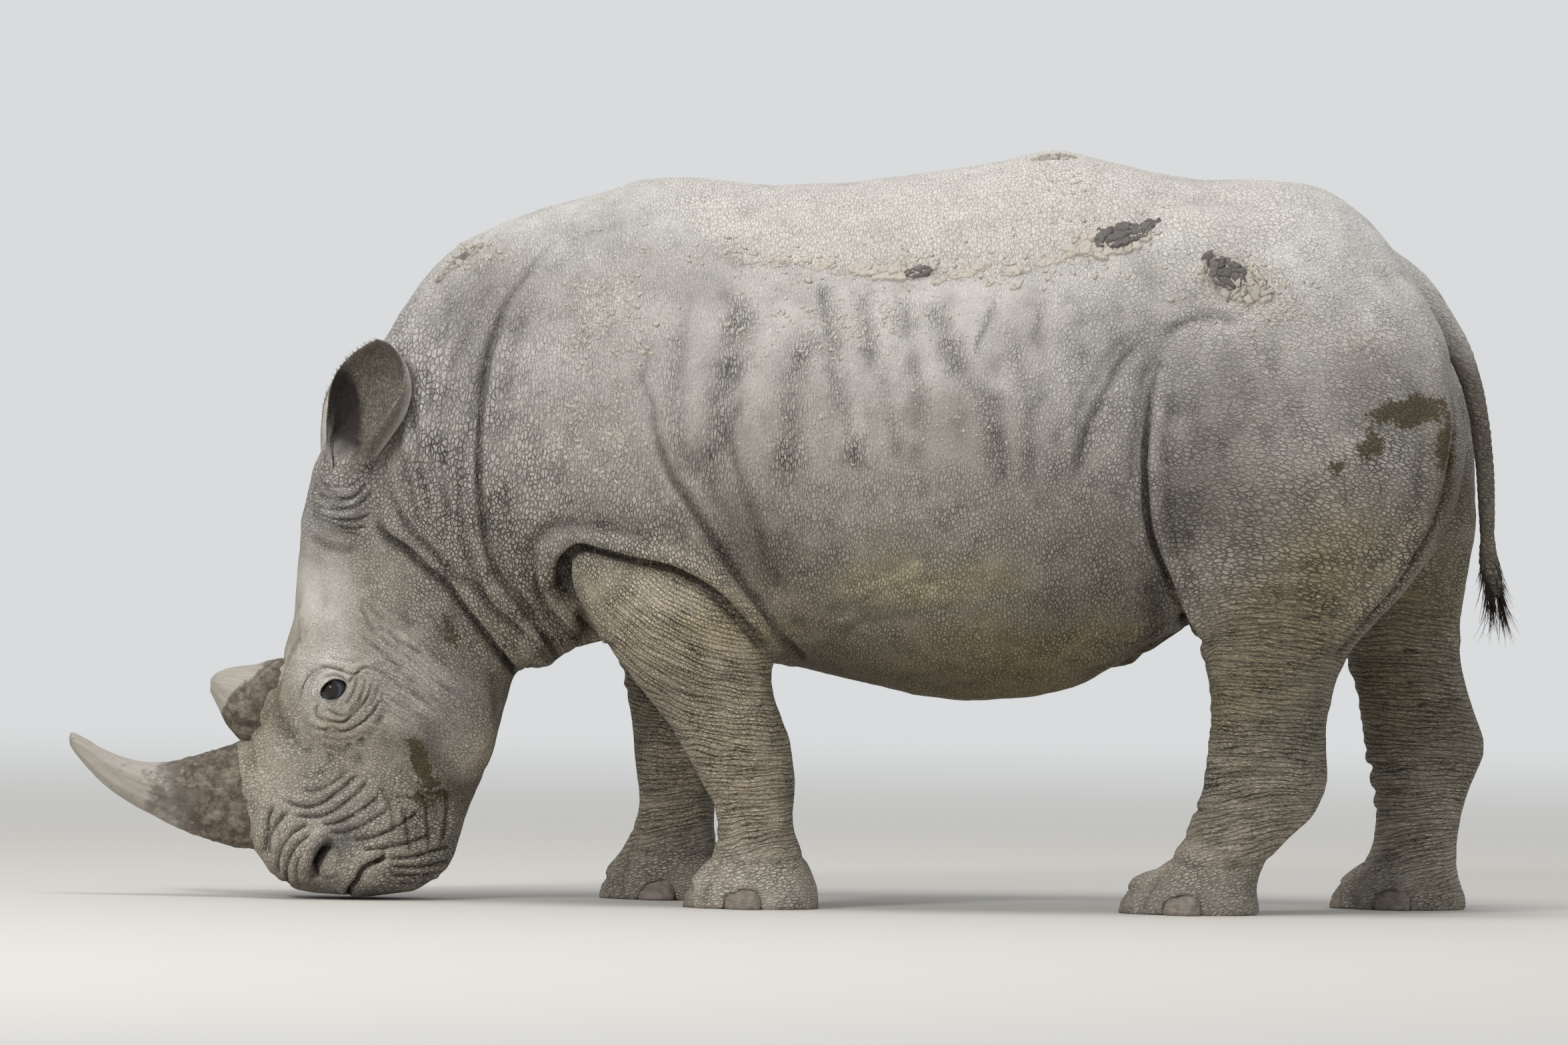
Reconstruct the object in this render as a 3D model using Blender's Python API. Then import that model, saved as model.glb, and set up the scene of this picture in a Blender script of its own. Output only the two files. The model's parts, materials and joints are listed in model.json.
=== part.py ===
"""A white rhinoceros that grazes with its head down: a life-size still model.

The animal faces -X with its left side towards -Y, and its soles are flat at Z = 0.
The flesh is modelled whole, like clay: lofted masses and rounded lumps are welded by a
voxel remesh, smoothed, and reduced to facets. Thin cuts then part it into head, jaw,
neck, trunk and legs. Horns, ears, eyes, toenails and the tail are pieces of their own.
"""

import math

import bmesh
import bpy
import numpy as np
from mathutils import Matrix, Vector
from mathutils.bvhtree import BVHTree

# ---------------------------------------------------------------- driving sizes

SHOULDER_HEIGHT = 1.60  # metres, floor to the top of the withers
TABLE_HEIGHT = 159.9  # height of the withers in the tables below, in their own units
UNIT = SHOULDER_HEIGHT / TABLE_HEIGHT  # one table unit, a centimetre at this size, in metres

CUT = 0.0008  # width of the cuts between pieces, metres
SOCKET = 0.0016  # gap round a horn or an eye
CLAY_VOXEL = 1.25 * UNIT  # grain of the remesh that welds the masses
FINE_SMOOTHING = 9  # passes that soften the welds everywhere
BROAD_SMOOTHING = 55  # more passes, on the body but not on the face and the feet
FLESH_TRIANGLES = 3100  # facets of the whole flesh before it is parted
RING_SIDES = 36  # points round one loft section
STEPS = 4  # sections between two rows of a table
SOLE_DEPTH = -3.0  # the legs are lofted this far below the floor, then cut flat

EYE_RADIUS = 2.5
EYE_PLACE = (-100.2, 46.2)
EYE_SINK = 2.0  # centre of the eyeball below the skin

# ---------------------------------------------------------------- body tables
# Each row: (upper or front point (x, z), lower or back point (x, z), half width,
#            where the widest level lies from back (0) to front (1),
#            roundness of the upper half, roundness of the lower half: 2 is an ellipse)

TRUNK = [
    ((-52, 152.0), (-50, 62.0), 29.0, 0.45, 2.0, 2.2),
    ((-43, 156.2), (-45, 58.5), 34.0, 0.46, 2.0, 2.2),
    ((-34, 159.2), (-38, 57.0), 37.5, 0.47, 2.0, 2.2),
    ((-24, 159.9), (-26, 55.4), 40.5, 0.46, 2.0, 2.2),
    ((-13, 158.7), (-12, 54.0), 42.5, 0.44, 2.0, 2.1),
    ((-3, 158.1), (-1.7, 53.0), 45.0, 0.42, 2.0, 2.1),
    ((14, 159.4), (15.6, 48.8), 49.0, 0.40, 2.0, 2.1),
    ((31.3, 161.7), (32.9, 45.6), 51.5, 0.39, 1.95, 2.1),
    ((43.3, 164.1), (45, 45.4), 52.0, 0.39, 1.9, 2.1),
    ((55.3, 166.8), (58.7, 47.5), 51.0, 0.40, 1.85, 2.1),
    ((65.7, 165.3), (69, 51.6), 49.0, 0.43, 1.9, 2.1),
    ((76.1, 162.5), (77.5, 56.9), 46.0, 0.47, 2.0, 2.1),
    ((88.2, 160.6), (87.8, 63.9), 43.0, 0.50, 2.1, 2.1),
    ((103.7, 160.8), (101.5, 69.3), 41.5, 0.54, 2.3, 2.1),
    ((115.8, 158.8), (115.2, 76.4), 39.0, 0.56, 2.3, 2.1),
    ((126.2, 151.4), (125.5, 83.0), 35.0, 0.56, 2.3, 2.1),
    ((134.6, 142.6), (132.9, 92.0), 28.0, 0.56, 2.2, 2.0),
    ((139.4, 132.0), (137.5, 102.0), 17.0, 0.54, 2.0, 2.0),
]

NECK = [
    ((-31.6, 157.5), (-40.0, 62.0), 36.0, 0.48, 2.0, 2.2),
    ((-51.4, 154.2), (-47.0, 57.4), 32.0, 0.46, 1.9, 2.2),
    ((-65.3, 148.8), (-51.6, 56.4), 28.0, 0.45, 1.8, 2.2),
    ((-76.2, 143.6), (-55.5, 53.5), 25.0, 0.44, 1.8, 2.2),
    ((-84.3, 134.3), (-59.0, 53.0), 23.0, 0.42, 1.8, 2.2),
    ((-90.4, 124.2), (-60.6, 52.0), 21.0, 0.42, 1.9, 2.2),
    ((-95.8, 113.2), (-61.1, 50.1), 19.5, 0.42, 2.1, 2.2),
]

HEAD = [
    ((-91.5, 121.0), (-60.8, 52.0), 19.0, 0.42, 2.0, 2.2),
    ((-97.6, 112.0), (-61.1, 50.1), 18.0, 0.45, 2.2, 2.2),
    ((-104.1, 99.0), (-62.2, 44.6), 17.0, 0.45, 2.4, 2.2),
    ((-107.8, 85.3), (-63.5, 39.4), 16.8, 0.44, 2.3, 2.2),
    ((-108.5, 73.2), (-65.2, 34.2), 17.2, 0.46, 2.2, 2.2),
    ((-109.4, 61.2), (-66.5, 29.9), 17.4, 0.50, 2.2, 2.2),
    ((-112.6, 51.6), (-68.2, 24.7), 16.4, 0.50, 2.2, 2.2),
    ((-116.0, 42.9), (-70.2, 20.3), 14.8, 0.48, 2.3, 2.2),
    ((-119.4, 34.3), (-71.8, 16.0), 13.6, 0.48, 2.5, 2.2),
    ((-121.0, 24.8), (-73.0, 11.6), 13.2, 0.50, 2.8, 2.3),
    ((-120.0, 16.2), (-74.3, 8.0), 13.8, 0.50, 3.0, 2.5),
    ((-117.4, 10.0), (-77.7, 4.6), 14.2, 0.52, 3.0, 2.8),
    ((-113.2, 5.2), (-82.4, 2.0), 13.8, 0.52, 3.0, 2.8),
    ((-108.0, 1.6), (-90.0, 0.6), 11.0, 0.50, 2.6, 2.6),
]

# Leg rows: (front point (x, z), back point (x, z), half width, distance from the midline)

FORELEG_LEFT = [
    ((-46.0, 92.0), (-12.0, 96.0), 10.0, 24.0),
    ((-47.5, 80.0), (-7.0, 80.0), 13.0, 25.5),
    ((-46.5, 70.5), (-5.0, 63.0), 14.0, 26.0),
    ((-44.0, 63.5), (-4.8, 54.5), 13.8, 26.0),
    ((-37.9, 53.5), (-4.2, 48.8), 13.0, 25.8),
    ((-32.6, 46.7), (-2.1, 42.8), 12.2, 25.5),
    ((-27.4, 40.8), (-0.1, 38.6), 11.6, 25.2),
    ((-23.8, 34.8), (1.2, 31.7), 10.8, 25.0),
    ((-20.7, 28.8), (1.3, 26.5), 9.8, 24.8),
    ((-17.7, 24.6), (1.1, 22.1), 9.1, 24.6),
    ((-15.9, 19.4), (1.0, 17.7), 8.8, 24.5),
    ((-15.8, 14.2), (2.0, 13.5), 9.2, 24.5),
    ((-18.2, 9.4), (4.4, 9.2), 10.6, 24.5),
    ((-20.9, 5.9), (6.0, 5.6), 11.8, 24.5),
    ((-22.4, 2.0), (6.8, 2.0), 12.2, 24.5),
    ((-22.4, SOLE_DEPTH), (6.4, SOLE_DEPTH), 12.0, 24.5),
]

FORELEG_RIGHT = [
    ((-46.0, 90.0), (-12.0, 92.0), 10.0, 24.0),
    ((-46.5, 76.0), (-9.0, 74.0), 13.0, 25.5),
    ((-43.0, 64.0), (-10.5, 60.0), 13.6, 26.0),
    ((-38.6, 54.0), (-11.8, 50.5), 13.0, 25.8),
    ((-36.8, 46.5), (-13.2, 42.5), 12.0, 25.5),
    ((-35.5, 39.5), (-14.6, 35.5), 11.0, 25.2),
    ((-34.5, 32.5), (-15.6, 28.5), 10.4, 25.0),
    ((-33.8, 26.0), (-16.3, 22.5), 9.4, 24.7),
    ((-33.6, 19.6), (-16.5, 17.2), 8.8, 24.5),
    ((-34.6, 14.8), (-16.2, 13.0), 9.2, 24.5),
    ((-37.6, 10.0), (-14.4, 9.0), 10.6, 24.5),
    ((-40.0, 6.1), (-13.2, 5.6), 11.8, 24.5),
    ((-41.2, 2.0), (-12.4, 2.0), 12.2, 24.5),
    ((-41.2, SOLE_DEPTH), (-12.8, SOLE_DEPTH), 12.0, 24.5),
]

HINDLEG_LEFT = [
    ((86.0, 136.0), (126.0, 139.0), 11.0, 24.0),
    ((80.8, 124.0), (138.5, 127.0), 16.0, 25.0),
    ((77.7, 107.0), (146.4, 107.8), 20.6, 22.8),
    ((76.4, 96.5), (146.6, 97.5), 21.4, 22.6),
    ((76.6, 86.2), (144.0, 87.1), 20.4, 23.2),
    ((78.1, 77.2), (139.8, 78.8), 18.4, 24.6),
    ((81.4, 69.9), (134.0, 71.1), 16.2, 25.8),
    ((85.9, 63.5), (128.2, 64.5), 14.6, 26.0),
    ((89.3, 57.0), (122.4, 58.0), 13.2, 26.0),
    ((91.2, 50.0), (119.0, 51.4), 12.0, 25.8),
    ((91.4, 42.4), (117.4, 43.9), 11.0, 25.5),
    ((90.6, 33.4), (117.3, 35.2), 10.2, 25.2),
    ((88.9, 24.6), (118.0, 28.8), 9.6, 25.0),
    ((86.4, 17.7), (115.2, 22.3), 9.0, 24.8),
    ((83.9, 13.0), (108.6, 16.0), 9.0, 24.6),
    ((80.3, 9.2), (103.4, 10.6), 9.8, 24.5),
    ((75.6, 5.6), (102.2, 5.6), 11.0, 24.5),
    ((72.8, 2.0), (103.2, 2.0), 11.6, 24.5),
    ((72.8, SOLE_DEPTH), (102.8, SOLE_DEPTH), 11.4, 24.5),
]

HINDLEG_RIGHT = [
    ((88.0, 134.0), (130.0, 139.0), 11.0, 24.0),
    ((86.0, 121.0), (143.5, 126.0), 16.0, 25.0),
    ((86.0, 105.0), (149.8, 109.0), 20.6, 22.8),
    ((90.5, 92.0), (150.8, 96.0), 20.6, 22.8),
    ((99.0, 82.0), (151.0, 84.5), 18.8, 23.8),
    ((109.5, 73.0), (149.8, 75.0), 15.2, 25.6),
    ((116.5, 65.0), (148.4, 66.5), 13.6, 26.0),
    ((121.4, 57.5), (147.6, 59.0), 12.2, 26.0),
    ((124.0, 50.8), (148.4, 52.8), 11.4, 25.8),
    ((125.6, 44.2), (150.4, 46.6), 10.8, 25.5),
    ((126.6, 36.4), (153.4, 39.8), 10.0, 25.2),
    ((127.9, 28.4), (154.0, 34.0), 9.4, 25.0),
    ((129.4, 21.6), (150.6, 26.7), 9.0, 24.8),
    ((129.8, 16.6), (148.2, 19.8), 8.8, 24.6),
    ((128.6, 12.4), (147.6, 13.4), 9.2, 24.5),
    ((125.6, 9.0), (147.8, 9.2), 10.2, 24.5),
    ((121.9, 5.6), (148.8, 5.6), 11.2, 24.5),
    ((120.6, 2.0), (150.0, 2.0), 11.6, 24.5),
    ((120.6, SOLE_DEPTH), (149.6, SOLE_DEPTH), 11.4, 24.5),
]

# Lumps: (name, centre (x, y, z), radii (x, y, z), turn about Y in degrees); each is mirrored.
LUMPS = [
    ("shoulder_blade", (-27, 22.8, 114), (23, 15.5, 34), 12),
    ("shoulder_point", (-27, 22.5, 90), (26, 18.5, 28), -14),
    ("elbow_pad", (-13, 26.5, 62), (10, 11.0, 14), -20),
    ("hip_point", (88, 26.5, 133), (22, 13.0, 22), 0),
    ("buttock", (119, 21.0, 116), (25, 19.0, 28), 10),
    ("brow", (-101.6, 9.2, 56.5), (6.8, 4.6, 12.0), -14),
    ("cheek", (-79.5, 12.3, 42), (14, 6.4, 20), -34),
    ("cheek_bone", (-92, 12.6, 50.5), (14, 5.0, 7.5), -28),
    ("nostril_wing", (-104.5, 9.4, 10.5), (9.5, 6.4, 7.4), -30),
    ("lip_corner", (-92.5, 9.4, 8.6), (9.0, 5.8, 6.8), 20),
    ("ear_stalk", (-98.2, 12.6, 91.5), (6.8, 6.8, 12.5), 8),
]

# Rolls of loose skin that hang under the neck: (centre (x, y, z), radii, turn about Y)
ROLLS = [
    ("throat_roll", (-56.8, 0.0, 58.0), (5.2, 19.0, 8.4), -24),
    ("brisket_roll", (-47.6, 0.0, 63.0), (5.6, 22.0, 7.4), -10),
]

# Toes: (foot front x, foot back x, midline distance, side): side +1 is the right of the animal
FEET = {
    "foot_front_left": (-22.4, 6.8, -1),
    "foot_front_right": (-41.2, -12.4, 1),
    "foot_hind_left": (72.8, 103.2, -1),
    "foot_hind_right": (120.6, 150.0, 1),
}
FOOT_DISTANCE = 24.5

# Horns: (front or upper point (x, z), rear or lower point (x, z), half width)
HORN_FRONT = [
    ((-114.5, 35.5), (-111.5, 12.5), 7.2),
    ((-121.0, 34.0), (-117.6, 10.6), 8.2),
    ((-127.8, 31.7), (-125.2, 11.7), 7.0),
    ((-134.4, 29.9), (-132.1, 14.0), 5.9),
    ((-140.6, 29.2), (-138.5, 16.9), 4.9),
    ((-146.1, 30.1), (-145.0, 20.2), 3.9),
    ((-151.0, 32.0), (-150.7, 24.2), 3.0),
    ((-155.0, 34.2), (-155.4, 28.9), 2.1),
    ((-157.3, 35.4), (-158.1, 32.4), 1.2),
    ((-158.2, 35.4), (-158.5, 34.2), 0.5),
]
HORN_REAR = [
    ((-108.0, 53.0), (-115.0, 33.0), 6.0),
    ((-113.4, 52.2), (-120.6, 34.6), 7.2),
    ((-118.2, 51.0), (-122.8, 36.2), 6.2),
    ((-122.6, 50.5), (-124.9, 39.2), 5.0),
    ((-126.1, 49.3), (-126.5, 42.6), 3.4),
    ((-127.6, 47.6), (-127.6, 45.0), 1.4),
]

# Tail: (outer point (x, z), inner point (x, z), half width)
TAIL = [
    ((126.6, 147.5), (121.0, 137.0), 6.0),
    ((134.6, 144.6), (128.6, 134.5), 5.8),
    ((140.6, 138.6), (135.6, 131.2), 4.6),
    ((145.3, 130.6), (140.7, 125.6), 3.7),
    ((149.3, 121.6), (145.2, 118.6), 3.1),
    ((152.0, 111.3), (148.0, 109.5), 2.8),
    ((153.5, 99.3), (149.6, 98.4), 2.6),
    ((154.0, 89.0), (150.5, 88.0), 2.3),
    ((153.8, 80.3), (151.1, 80.0), 1.9),
    ((154.1, 73.5), (151.9, 73.4), 1.5),
    ((155.2, 67.6), (153.9, 67.4), 0.9),
]
TUFT = [
    ((155.3, 82.4), (151.2, 82.0), 2.6),
    ((155.6, 79.0), (150.9, 78.0), 3.0),
    ((156.4, 73.5), (151.2, 71.5), 3.1),
    ((157.4, 68.0), (152.4, 66.0), 2.7),
    ((157.9, 63.4), (154.6, 61.6), 1.7),
    ((157.9, 60.2), (157.0, 59.2), 0.5),
]

# ---------------------------------------------------------------- colours

MATERIALS = {
    "hide": ((0.33, 0.30, 0.26, 1.0), 0.9),
    "horn": ((0.30, 0.25, 0.20, 1.0), 0.6),
    "eye": ((0.012, 0.008, 0.006, 1.0), 0.08),
    "nail": ((0.20, 0.17, 0.14, 1.0), 0.5),
    "hair": ((0.02, 0.015, 0.012, 1.0), 0.6),
}


def material(name):
    """The Principled material of that name, made on its first use."""
    found = bpy.data.materials.get(name)
    if found:
        return found
    colour, roughness = MATERIALS[name]
    made = bpy.data.materials.new(name)
    made.use_nodes = True
    shader = made.node_tree.nodes["Principled BSDF"]
    shader.inputs["Base Color"].default_value = colour
    shader.inputs["Roughness"].default_value = roughness
    shader.inputs["Metallic"].default_value = 0.0
    made.diffuse_color = colour
    return made


# ---------------------------------------------------------------- mesh tools


def smooth_rows(rows):
    """The rows as plain number lists, with STEPS even Catmull-Rom steps between neighbours."""
    table = np.array([np.hstack(row) for row in rows], float)
    ends = np.vstack([2 * table[0] - table[1], table, 2 * table[-1] - table[-2]])
    found = []
    for i in range(len(table) - 1):
        a, b, c, d = ends[i : i + 4]
        for t in np.arange(STEPS) / STEPS:
            found.append(
                b
                + 0.5 * t * (c - a)
                + t * t * (a - 2.5 * b + 2 * c - 0.5 * d)
                + t * t * t * (1.5 * (b - c) + 0.5 * (d - a))
            )
    found.append(table[-1])
    return found


def section(front, back, centre_y, half_width, widest=0.5, n_front=2.2, n_back=2.2):
    """One closed section: a superellipse across the line from back to front, in the XZ plane."""
    front, back = np.array(front), np.array(back)
    points = []
    for i in range(RING_SIDES):
        angle = 2 * math.pi * i / RING_SIDES
        c, s = math.cos(angle), math.sin(angle)
        power = 2 / (n_front if s >= 0 else n_back)
        rise = abs(s) ** power
        share = widest + (1 - widest) * rise if s >= 0 else widest * (1 - rise)
        x, z = back + (front - back) * share
        y = centre_y + math.copysign(abs(c) ** power, c) * half_width
        points.append((x * UNIT, y * UNIT, z * UNIT))
    return points


def loft(name, rings, hollow=False):
    """A closed mesh object through the rings, with a fan of triangles over each end.

    A hollow ring runs out along a wall's outer face and back along its inner face, so its
    ends are closed by a strip across the wall.
    """
    shape = bmesh.new()
    loops = [[shape.verts.new(p) for p in ring] for ring in rings]
    count = len(rings[0])
    for lower, upper in zip(loops, loops[1:]):
        for i in range(count):
            j = (i + 1) % count
            shape.faces.new((lower[i], lower[j], upper[j], upper[i]))
    for loop in (loops[0], loops[-1]):
        if hollow:
            for i in range(count // 2 - 1):
                shape.faces.new((loop[i], loop[i + 1], loop[-i - 2], loop[-i - 1]))
            continue
        centre = shape.verts.new(sum((v.co for v in loop), Vector()) / count)
        for i in range(count):
            shape.faces.new((loop[i], loop[(i + 1) % count], centre))
    bmesh.ops.recalc_face_normals(shape, faces=shape.faces)
    bmesh.ops.triangulate(shape, faces=shape.faces)
    return object_from(shape, name)


def object_from(shape, name):
    mesh = bpy.data.meshes.new(name)
    shape.to_mesh(mesh)
    shape.free()
    made = bpy.data.objects.new(name, mesh)
    bpy.context.scene.collection.objects.link(made)
    return made


def body_mass(name, rows):
    """A mass that is symmetrical about the midline."""
    rings = [section(r[0:2], r[2:4], 0.0, r[4], r[5], r[6], r[7]) for r in smooth_rows(rows)]
    return loft(name, rings)


def limb(name, rows, side):
    """A leg: side is -1 on the animal's left and +1 on its right."""
    rings = [section(r[0:2], r[2:4], side * r[5], r[4]) for r in smooth_rows(rows)]
    return loft(name, rings)


def rod(name, rows, roundness=2.2):
    """A horn or tail in the midplane."""
    rings = [
        section(r[0:2], r[2:4], 0.0, r[4], 0.5, roundness, roundness) for r in smooth_rows(rows)
    ]
    return loft(name, rings)


def lump(name, centre, radii, turn=0.0, detail=3):
    """An ellipsoid, turned about Y by so many degrees."""
    shape = bmesh.new()
    bmesh.ops.create_icosphere(shape, subdivisions=detail, radius=1.0)
    place = (
        Matrix.Translation(Vector(centre) * UNIT)
        @ Matrix.Rotation(math.radians(turn), 4, "Y")
        @ Matrix.Diagonal((*(Vector(radii) * UNIT), 1.0))
    )
    bmesh.ops.transform(shape, matrix=place, verts=shape.verts)
    return object_from(shape, name)


def prism(name, outline, low_y, high_y):
    """A cutter: an outline in the XZ plane, extruded from low_y to high_y."""
    shape = bmesh.new()
    corners = [shape.verts.new((x * UNIT, low_y * UNIT, z * UNIT)) for x, z in outline]
    face = shape.faces.new(corners)
    side = bmesh.ops.extrude_face_region(shape, geom=[face])
    moved = [v for v in side["geom"] if isinstance(v, bmesh.types.BMVert)]
    bmesh.ops.translate(shape, vec=(0, (high_y - low_y) * UNIT, 0), verts=moved)
    bmesh.ops.recalc_face_normals(shape, faces=shape.faces)
    return object_from(shape, name)


def apply_modifiers(obj):
    """Replaces the object's mesh with what its modifiers make of it."""
    graph = bpy.context.evaluated_depsgraph_get()
    made = bpy.data.meshes.new_from_object(obj.evaluated_get(graph))
    obj.modifiers.clear()
    old = obj.data
    obj.data = made
    bpy.data.meshes.remove(old)
    return obj


def remove(*objects):
    for obj in objects:
        bpy.data.objects.remove(obj)


def copy_of(obj, name):
    made = bpy.data.objects.new(name, obj.data.copy())
    bpy.context.scene.collection.objects.link(made)
    return made


def grown(obj, distance):
    """A copy of the object whose surface stands that far outside it, or inside if negative."""
    made = copy_of(obj, obj.name + "_grown")
    shape = bmesh.new()
    shape.from_mesh(made.data)
    shape.normal_update()
    for vertex in shape.verts:
        vertex.co += vertex.normal * distance * vertex.calc_shell_factor()
    shape.to_mesh(made.data)
    shape.free()
    return made


def boolean(obj, other, operation):
    """Cuts or intersects obj with other, which stays as it is.

    Where the first solver finds the two surfaces too close to call, it leaves nothing,
    and the second one does the step.
    """
    for solver in ("EXACT", "MANIFOLD"):
        step = obj.modifiers.new("Boolean", "BOOLEAN")
        step.operation = operation
        step.object = other
        step.solver = solver
        made = bpy.data.meshes.new_from_object(
            obj.evaluated_get(bpy.context.evaluated_depsgraph_get())
        )
        obj.modifiers.clear()
        if made.polygons:
            break
    old = obj.data
    obj.data = made
    bpy.data.meshes.remove(old)
    return obj


def carve(obj, cutter, gap=CUT):
    """Takes the cutter and a gap round it out of obj."""
    wider = grown(cutter, gap)
    boolean(obj, wider, "DIFFERENCE")
    remove(wider)


def drop_crumbs(obj):
    """Keeps the main body and drops every loose crumb that a cut left beside it."""
    shape = bmesh.new()
    shape.from_mesh(obj.data)
    islands, seen = [], set()
    for start in shape.verts:
        if start in seen:
            continue
        island, front = [], [start]
        seen.add(start)
        while front:
            vertex = front.pop()
            island.append(vertex)
            for edge in vertex.link_edges:
                other = edge.other_vert(vertex)
                if other not in seen:
                    seen.add(other)
                    front.append(other)
        islands.append(island)
    islands.sort(key=len)
    bmesh.ops.delete(shape, geom=[v for part in islands[:-1] for v in part], context="VERTS")
    shape.to_mesh(obj.data)
    shape.free()


def part_off(whole, cutter, name):
    """The piece of whole inside the cutter becomes its own object, with a thin cut between."""
    piece = copy_of(whole, name)
    boolean(piece, cutter, "INTERSECT")
    carve(whole, cutter)
    remove(cutter)
    return piece


def keep_side(obj, point, normal):
    """Keeps what lies on the side of the plane that the normal points to, and caps the cut."""
    shape = bmesh.new()
    shape.from_mesh(obj.data)
    geometry = shape.verts[:] + shape.edges[:] + shape.faces[:]
    bmesh.ops.bisect_plane(
        shape, geom=geometry, dist=1e-7, plane_co=point, plane_no=normal, clear_inner=True
    )
    rim = [e for e in shape.edges if e.is_boundary]
    bmesh.ops.holes_fill(shape, edges=rim, sides=0)
    bmesh.ops.recalc_face_normals(shape, faces=shape.faces)
    shape.to_mesh(obj.data)
    shape.free()


def split(obj, first, second, front_name):
    """Parts obj along the line from first to second in the XZ plane.

    What lies to the left of that line, seen with +X right and +Z up, becomes front_name.
    """
    a, b = Vector((first[0], 0, first[1])) * UNIT, Vector((second[0], 0, second[1])) * UNIT
    along = (b - a).normalized()
    left = Vector((-along.z, 0, along.x))
    piece = copy_of(obj, front_name)
    keep_side(piece, a + left * CUT / 2, left)
    keep_side(obj, a - left * CUT / 2, -left)
    return piece


def skin_y(obj, x, z):
    """How far out the left side of obj is at that place, as a positive distance in table units."""
    tree = BVHTree.FromObject(obj, bpy.context.evaluated_depsgraph_get())
    hit = tree.ray_cast(Vector((x * UNIT, -1.0, z * UNIT)), Vector((0, 1, 0)))
    return -hit[0].y / UNIT


# ---------------------------------------------------------------- the flesh


def clay():
    """All the masses of flesh, welded and smoothed into one closed mesh."""
    masses = [
        body_mass("trunk_mass", TRUNK),
        body_mass("neck_mass", NECK),
        body_mass("head_mass", HEAD),
        limb("foreleg_left", FORELEG_LEFT, -1),
        limb("foreleg_right", FORELEG_RIGHT, 1),
        limb("hindleg_left", HINDLEG_LEFT, -1),
        limb("hindleg_right", HINDLEG_RIGHT, 1),
    ]
    for name, centre, radii, turn in LUMPS:
        for side in (-1, 1):
            masses.append(lump(name, (centre[0], side * centre[1], centre[2]), radii, turn))
    for name, centre, radii, turn in ROLLS:
        masses.append(lump(name, centre, radii, turn))
    for front, back, side in FEET.values():
        masses += toes(front, back, side)
    body = join(masses, "flesh")
    weld = body.modifiers.new("Weld", "REMESH")
    weld.mode = "VOXEL"
    weld.voxel_size = CLAY_VOXEL
    apply_modifiers(body)
    broad = body.vertex_groups.new(name="broad")
    for vertex in body.data.vertices:
        broad.add([vertex.index], broadness(vertex.co / UNIT), "REPLACE")
    for name, passes in (("Soften", FINE_SMOOTHING), ("Soften broadly", BROAD_SMOOTHING)):
        soften = body.modifiers.new(name, "SMOOTH")
        soften.factor = 0.5
        soften.iterations = passes
        soften.vertex_group = "broad" if passes == BROAD_SMOOTHING else ""
    apply_modifiers(body)
    body.vertex_groups.clear()
    facet = body.modifiers.new("Facet", "DECIMATE")
    facet.ratio = FLESH_TRIANGLES / sum(len(p.vertices) - 2 for p in body.data.polygons)
    apply_modifiers(body)
    keep_side(body, Vector((0, 0, 0)), Vector((0, 0, 1)))
    return body


def ramp(value, start, end):
    return min(1.0, max(0.0, (value - start) / (end - start)))


def broadness(place):
    """1 where the form is broad and soft, down to 0 on the face and the feet."""
    face = ramp(place.x, -70, -84) * ramp(place.z, 112, 96)
    foot = ramp(place.z, 26, 12)
    return 1.0 - max(face, foot)


def join(objects, name):
    """One object that holds the meshes of all of them."""
    shape = bmesh.new()
    for obj in objects:
        shape.from_mesh(obj.data)
    remove(*objects)
    return object_from(shape, name)


def toe_places(front, back, side):
    """(centre, direction it points in the XY plane) of the three toes of a foot."""
    middle = side * FOOT_DISTANCE
    length = back - front
    return [
        ("middle", (front + 0.24 * length, middle, 3.2), 180.0),
        ("outer", (front + 0.47 * length, middle + side * 7.2, 3.0), 180.0 - side * 68.0),
        ("inner", (front + 0.47 * length, middle - side * 7.2, 3.0), 180.0 + side * 68.0),
    ]


def toes(front, back, side):
    """Three rounded toes at the front and sides of a foot."""
    return [
        lump("toe", centre, (6.6, 5.4, 6.2)) for _, centre, _ in toe_places(front, back, side)
    ]


# ---------------------------------------------------------------- pieces of their own

NAIL_WIDTH, NAIL_HEIGHT, NAIL_DEPTH = 4.3, 5.2, 2.3  # radii of the ellipsoid it is cut from


def toenail(name, body, centre, heading):
    """A rounded plate set in the front of a toe, cut flat just above the floor."""
    direction = Vector((math.cos(math.radians(heading)), math.sin(math.radians(heading)), 0))
    tree = BVHTree.FromObject(body, bpy.context.evaluated_depsgraph_get())
    low = Vector((centre[0], centre[1], 2.0)) * UNIT
    hit = tree.ray_cast(low + direction * 0.3, -direction)
    nail = lump(name, (0, 0, 0), (NAIL_DEPTH, NAIL_WIDTH, NAIL_HEIGHT))
    lean = Matrix.Rotation(math.radians(-16), 4, "Y")
    turn = Matrix.Rotation(math.radians(heading), 4, "Z")
    base = hit[0] - direction * 1.15 * UNIT
    nail.data.transform(Matrix.Translation((base.x, base.y, 0.6 * UNIT)) @ turn @ lean)
    keep_side(nail, Vector((0, 0, 0.0005)), Vector((0, 0, 1)))
    reduce_to(nail, 38)
    return nail


def reduce_to(obj, triangles):
    now = sum(len(p.vertices) - 2 for p in obj.data.polygons)
    if now > triangles:
        facet = obj.modifiers.new("Facet", "DECIMATE")
        facet.ratio = triangles / now
        apply_modifiers(obj)


EAR_BASE = Vector((-98.4, -14.2, 93.5))
EAR_TIP = Vector((-90.8, -20.6, 122.9))
EAR_RIGHT_SHIFT = -1.2  # the right ear is held a little further forward
EAR_OPENS = Vector((-0.30, -0.95, 0.05))  # the way the hollow of the ear faces
EAR_WALL = 1.0
EAR_ARC = 8  # points along each wall of a section
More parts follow.
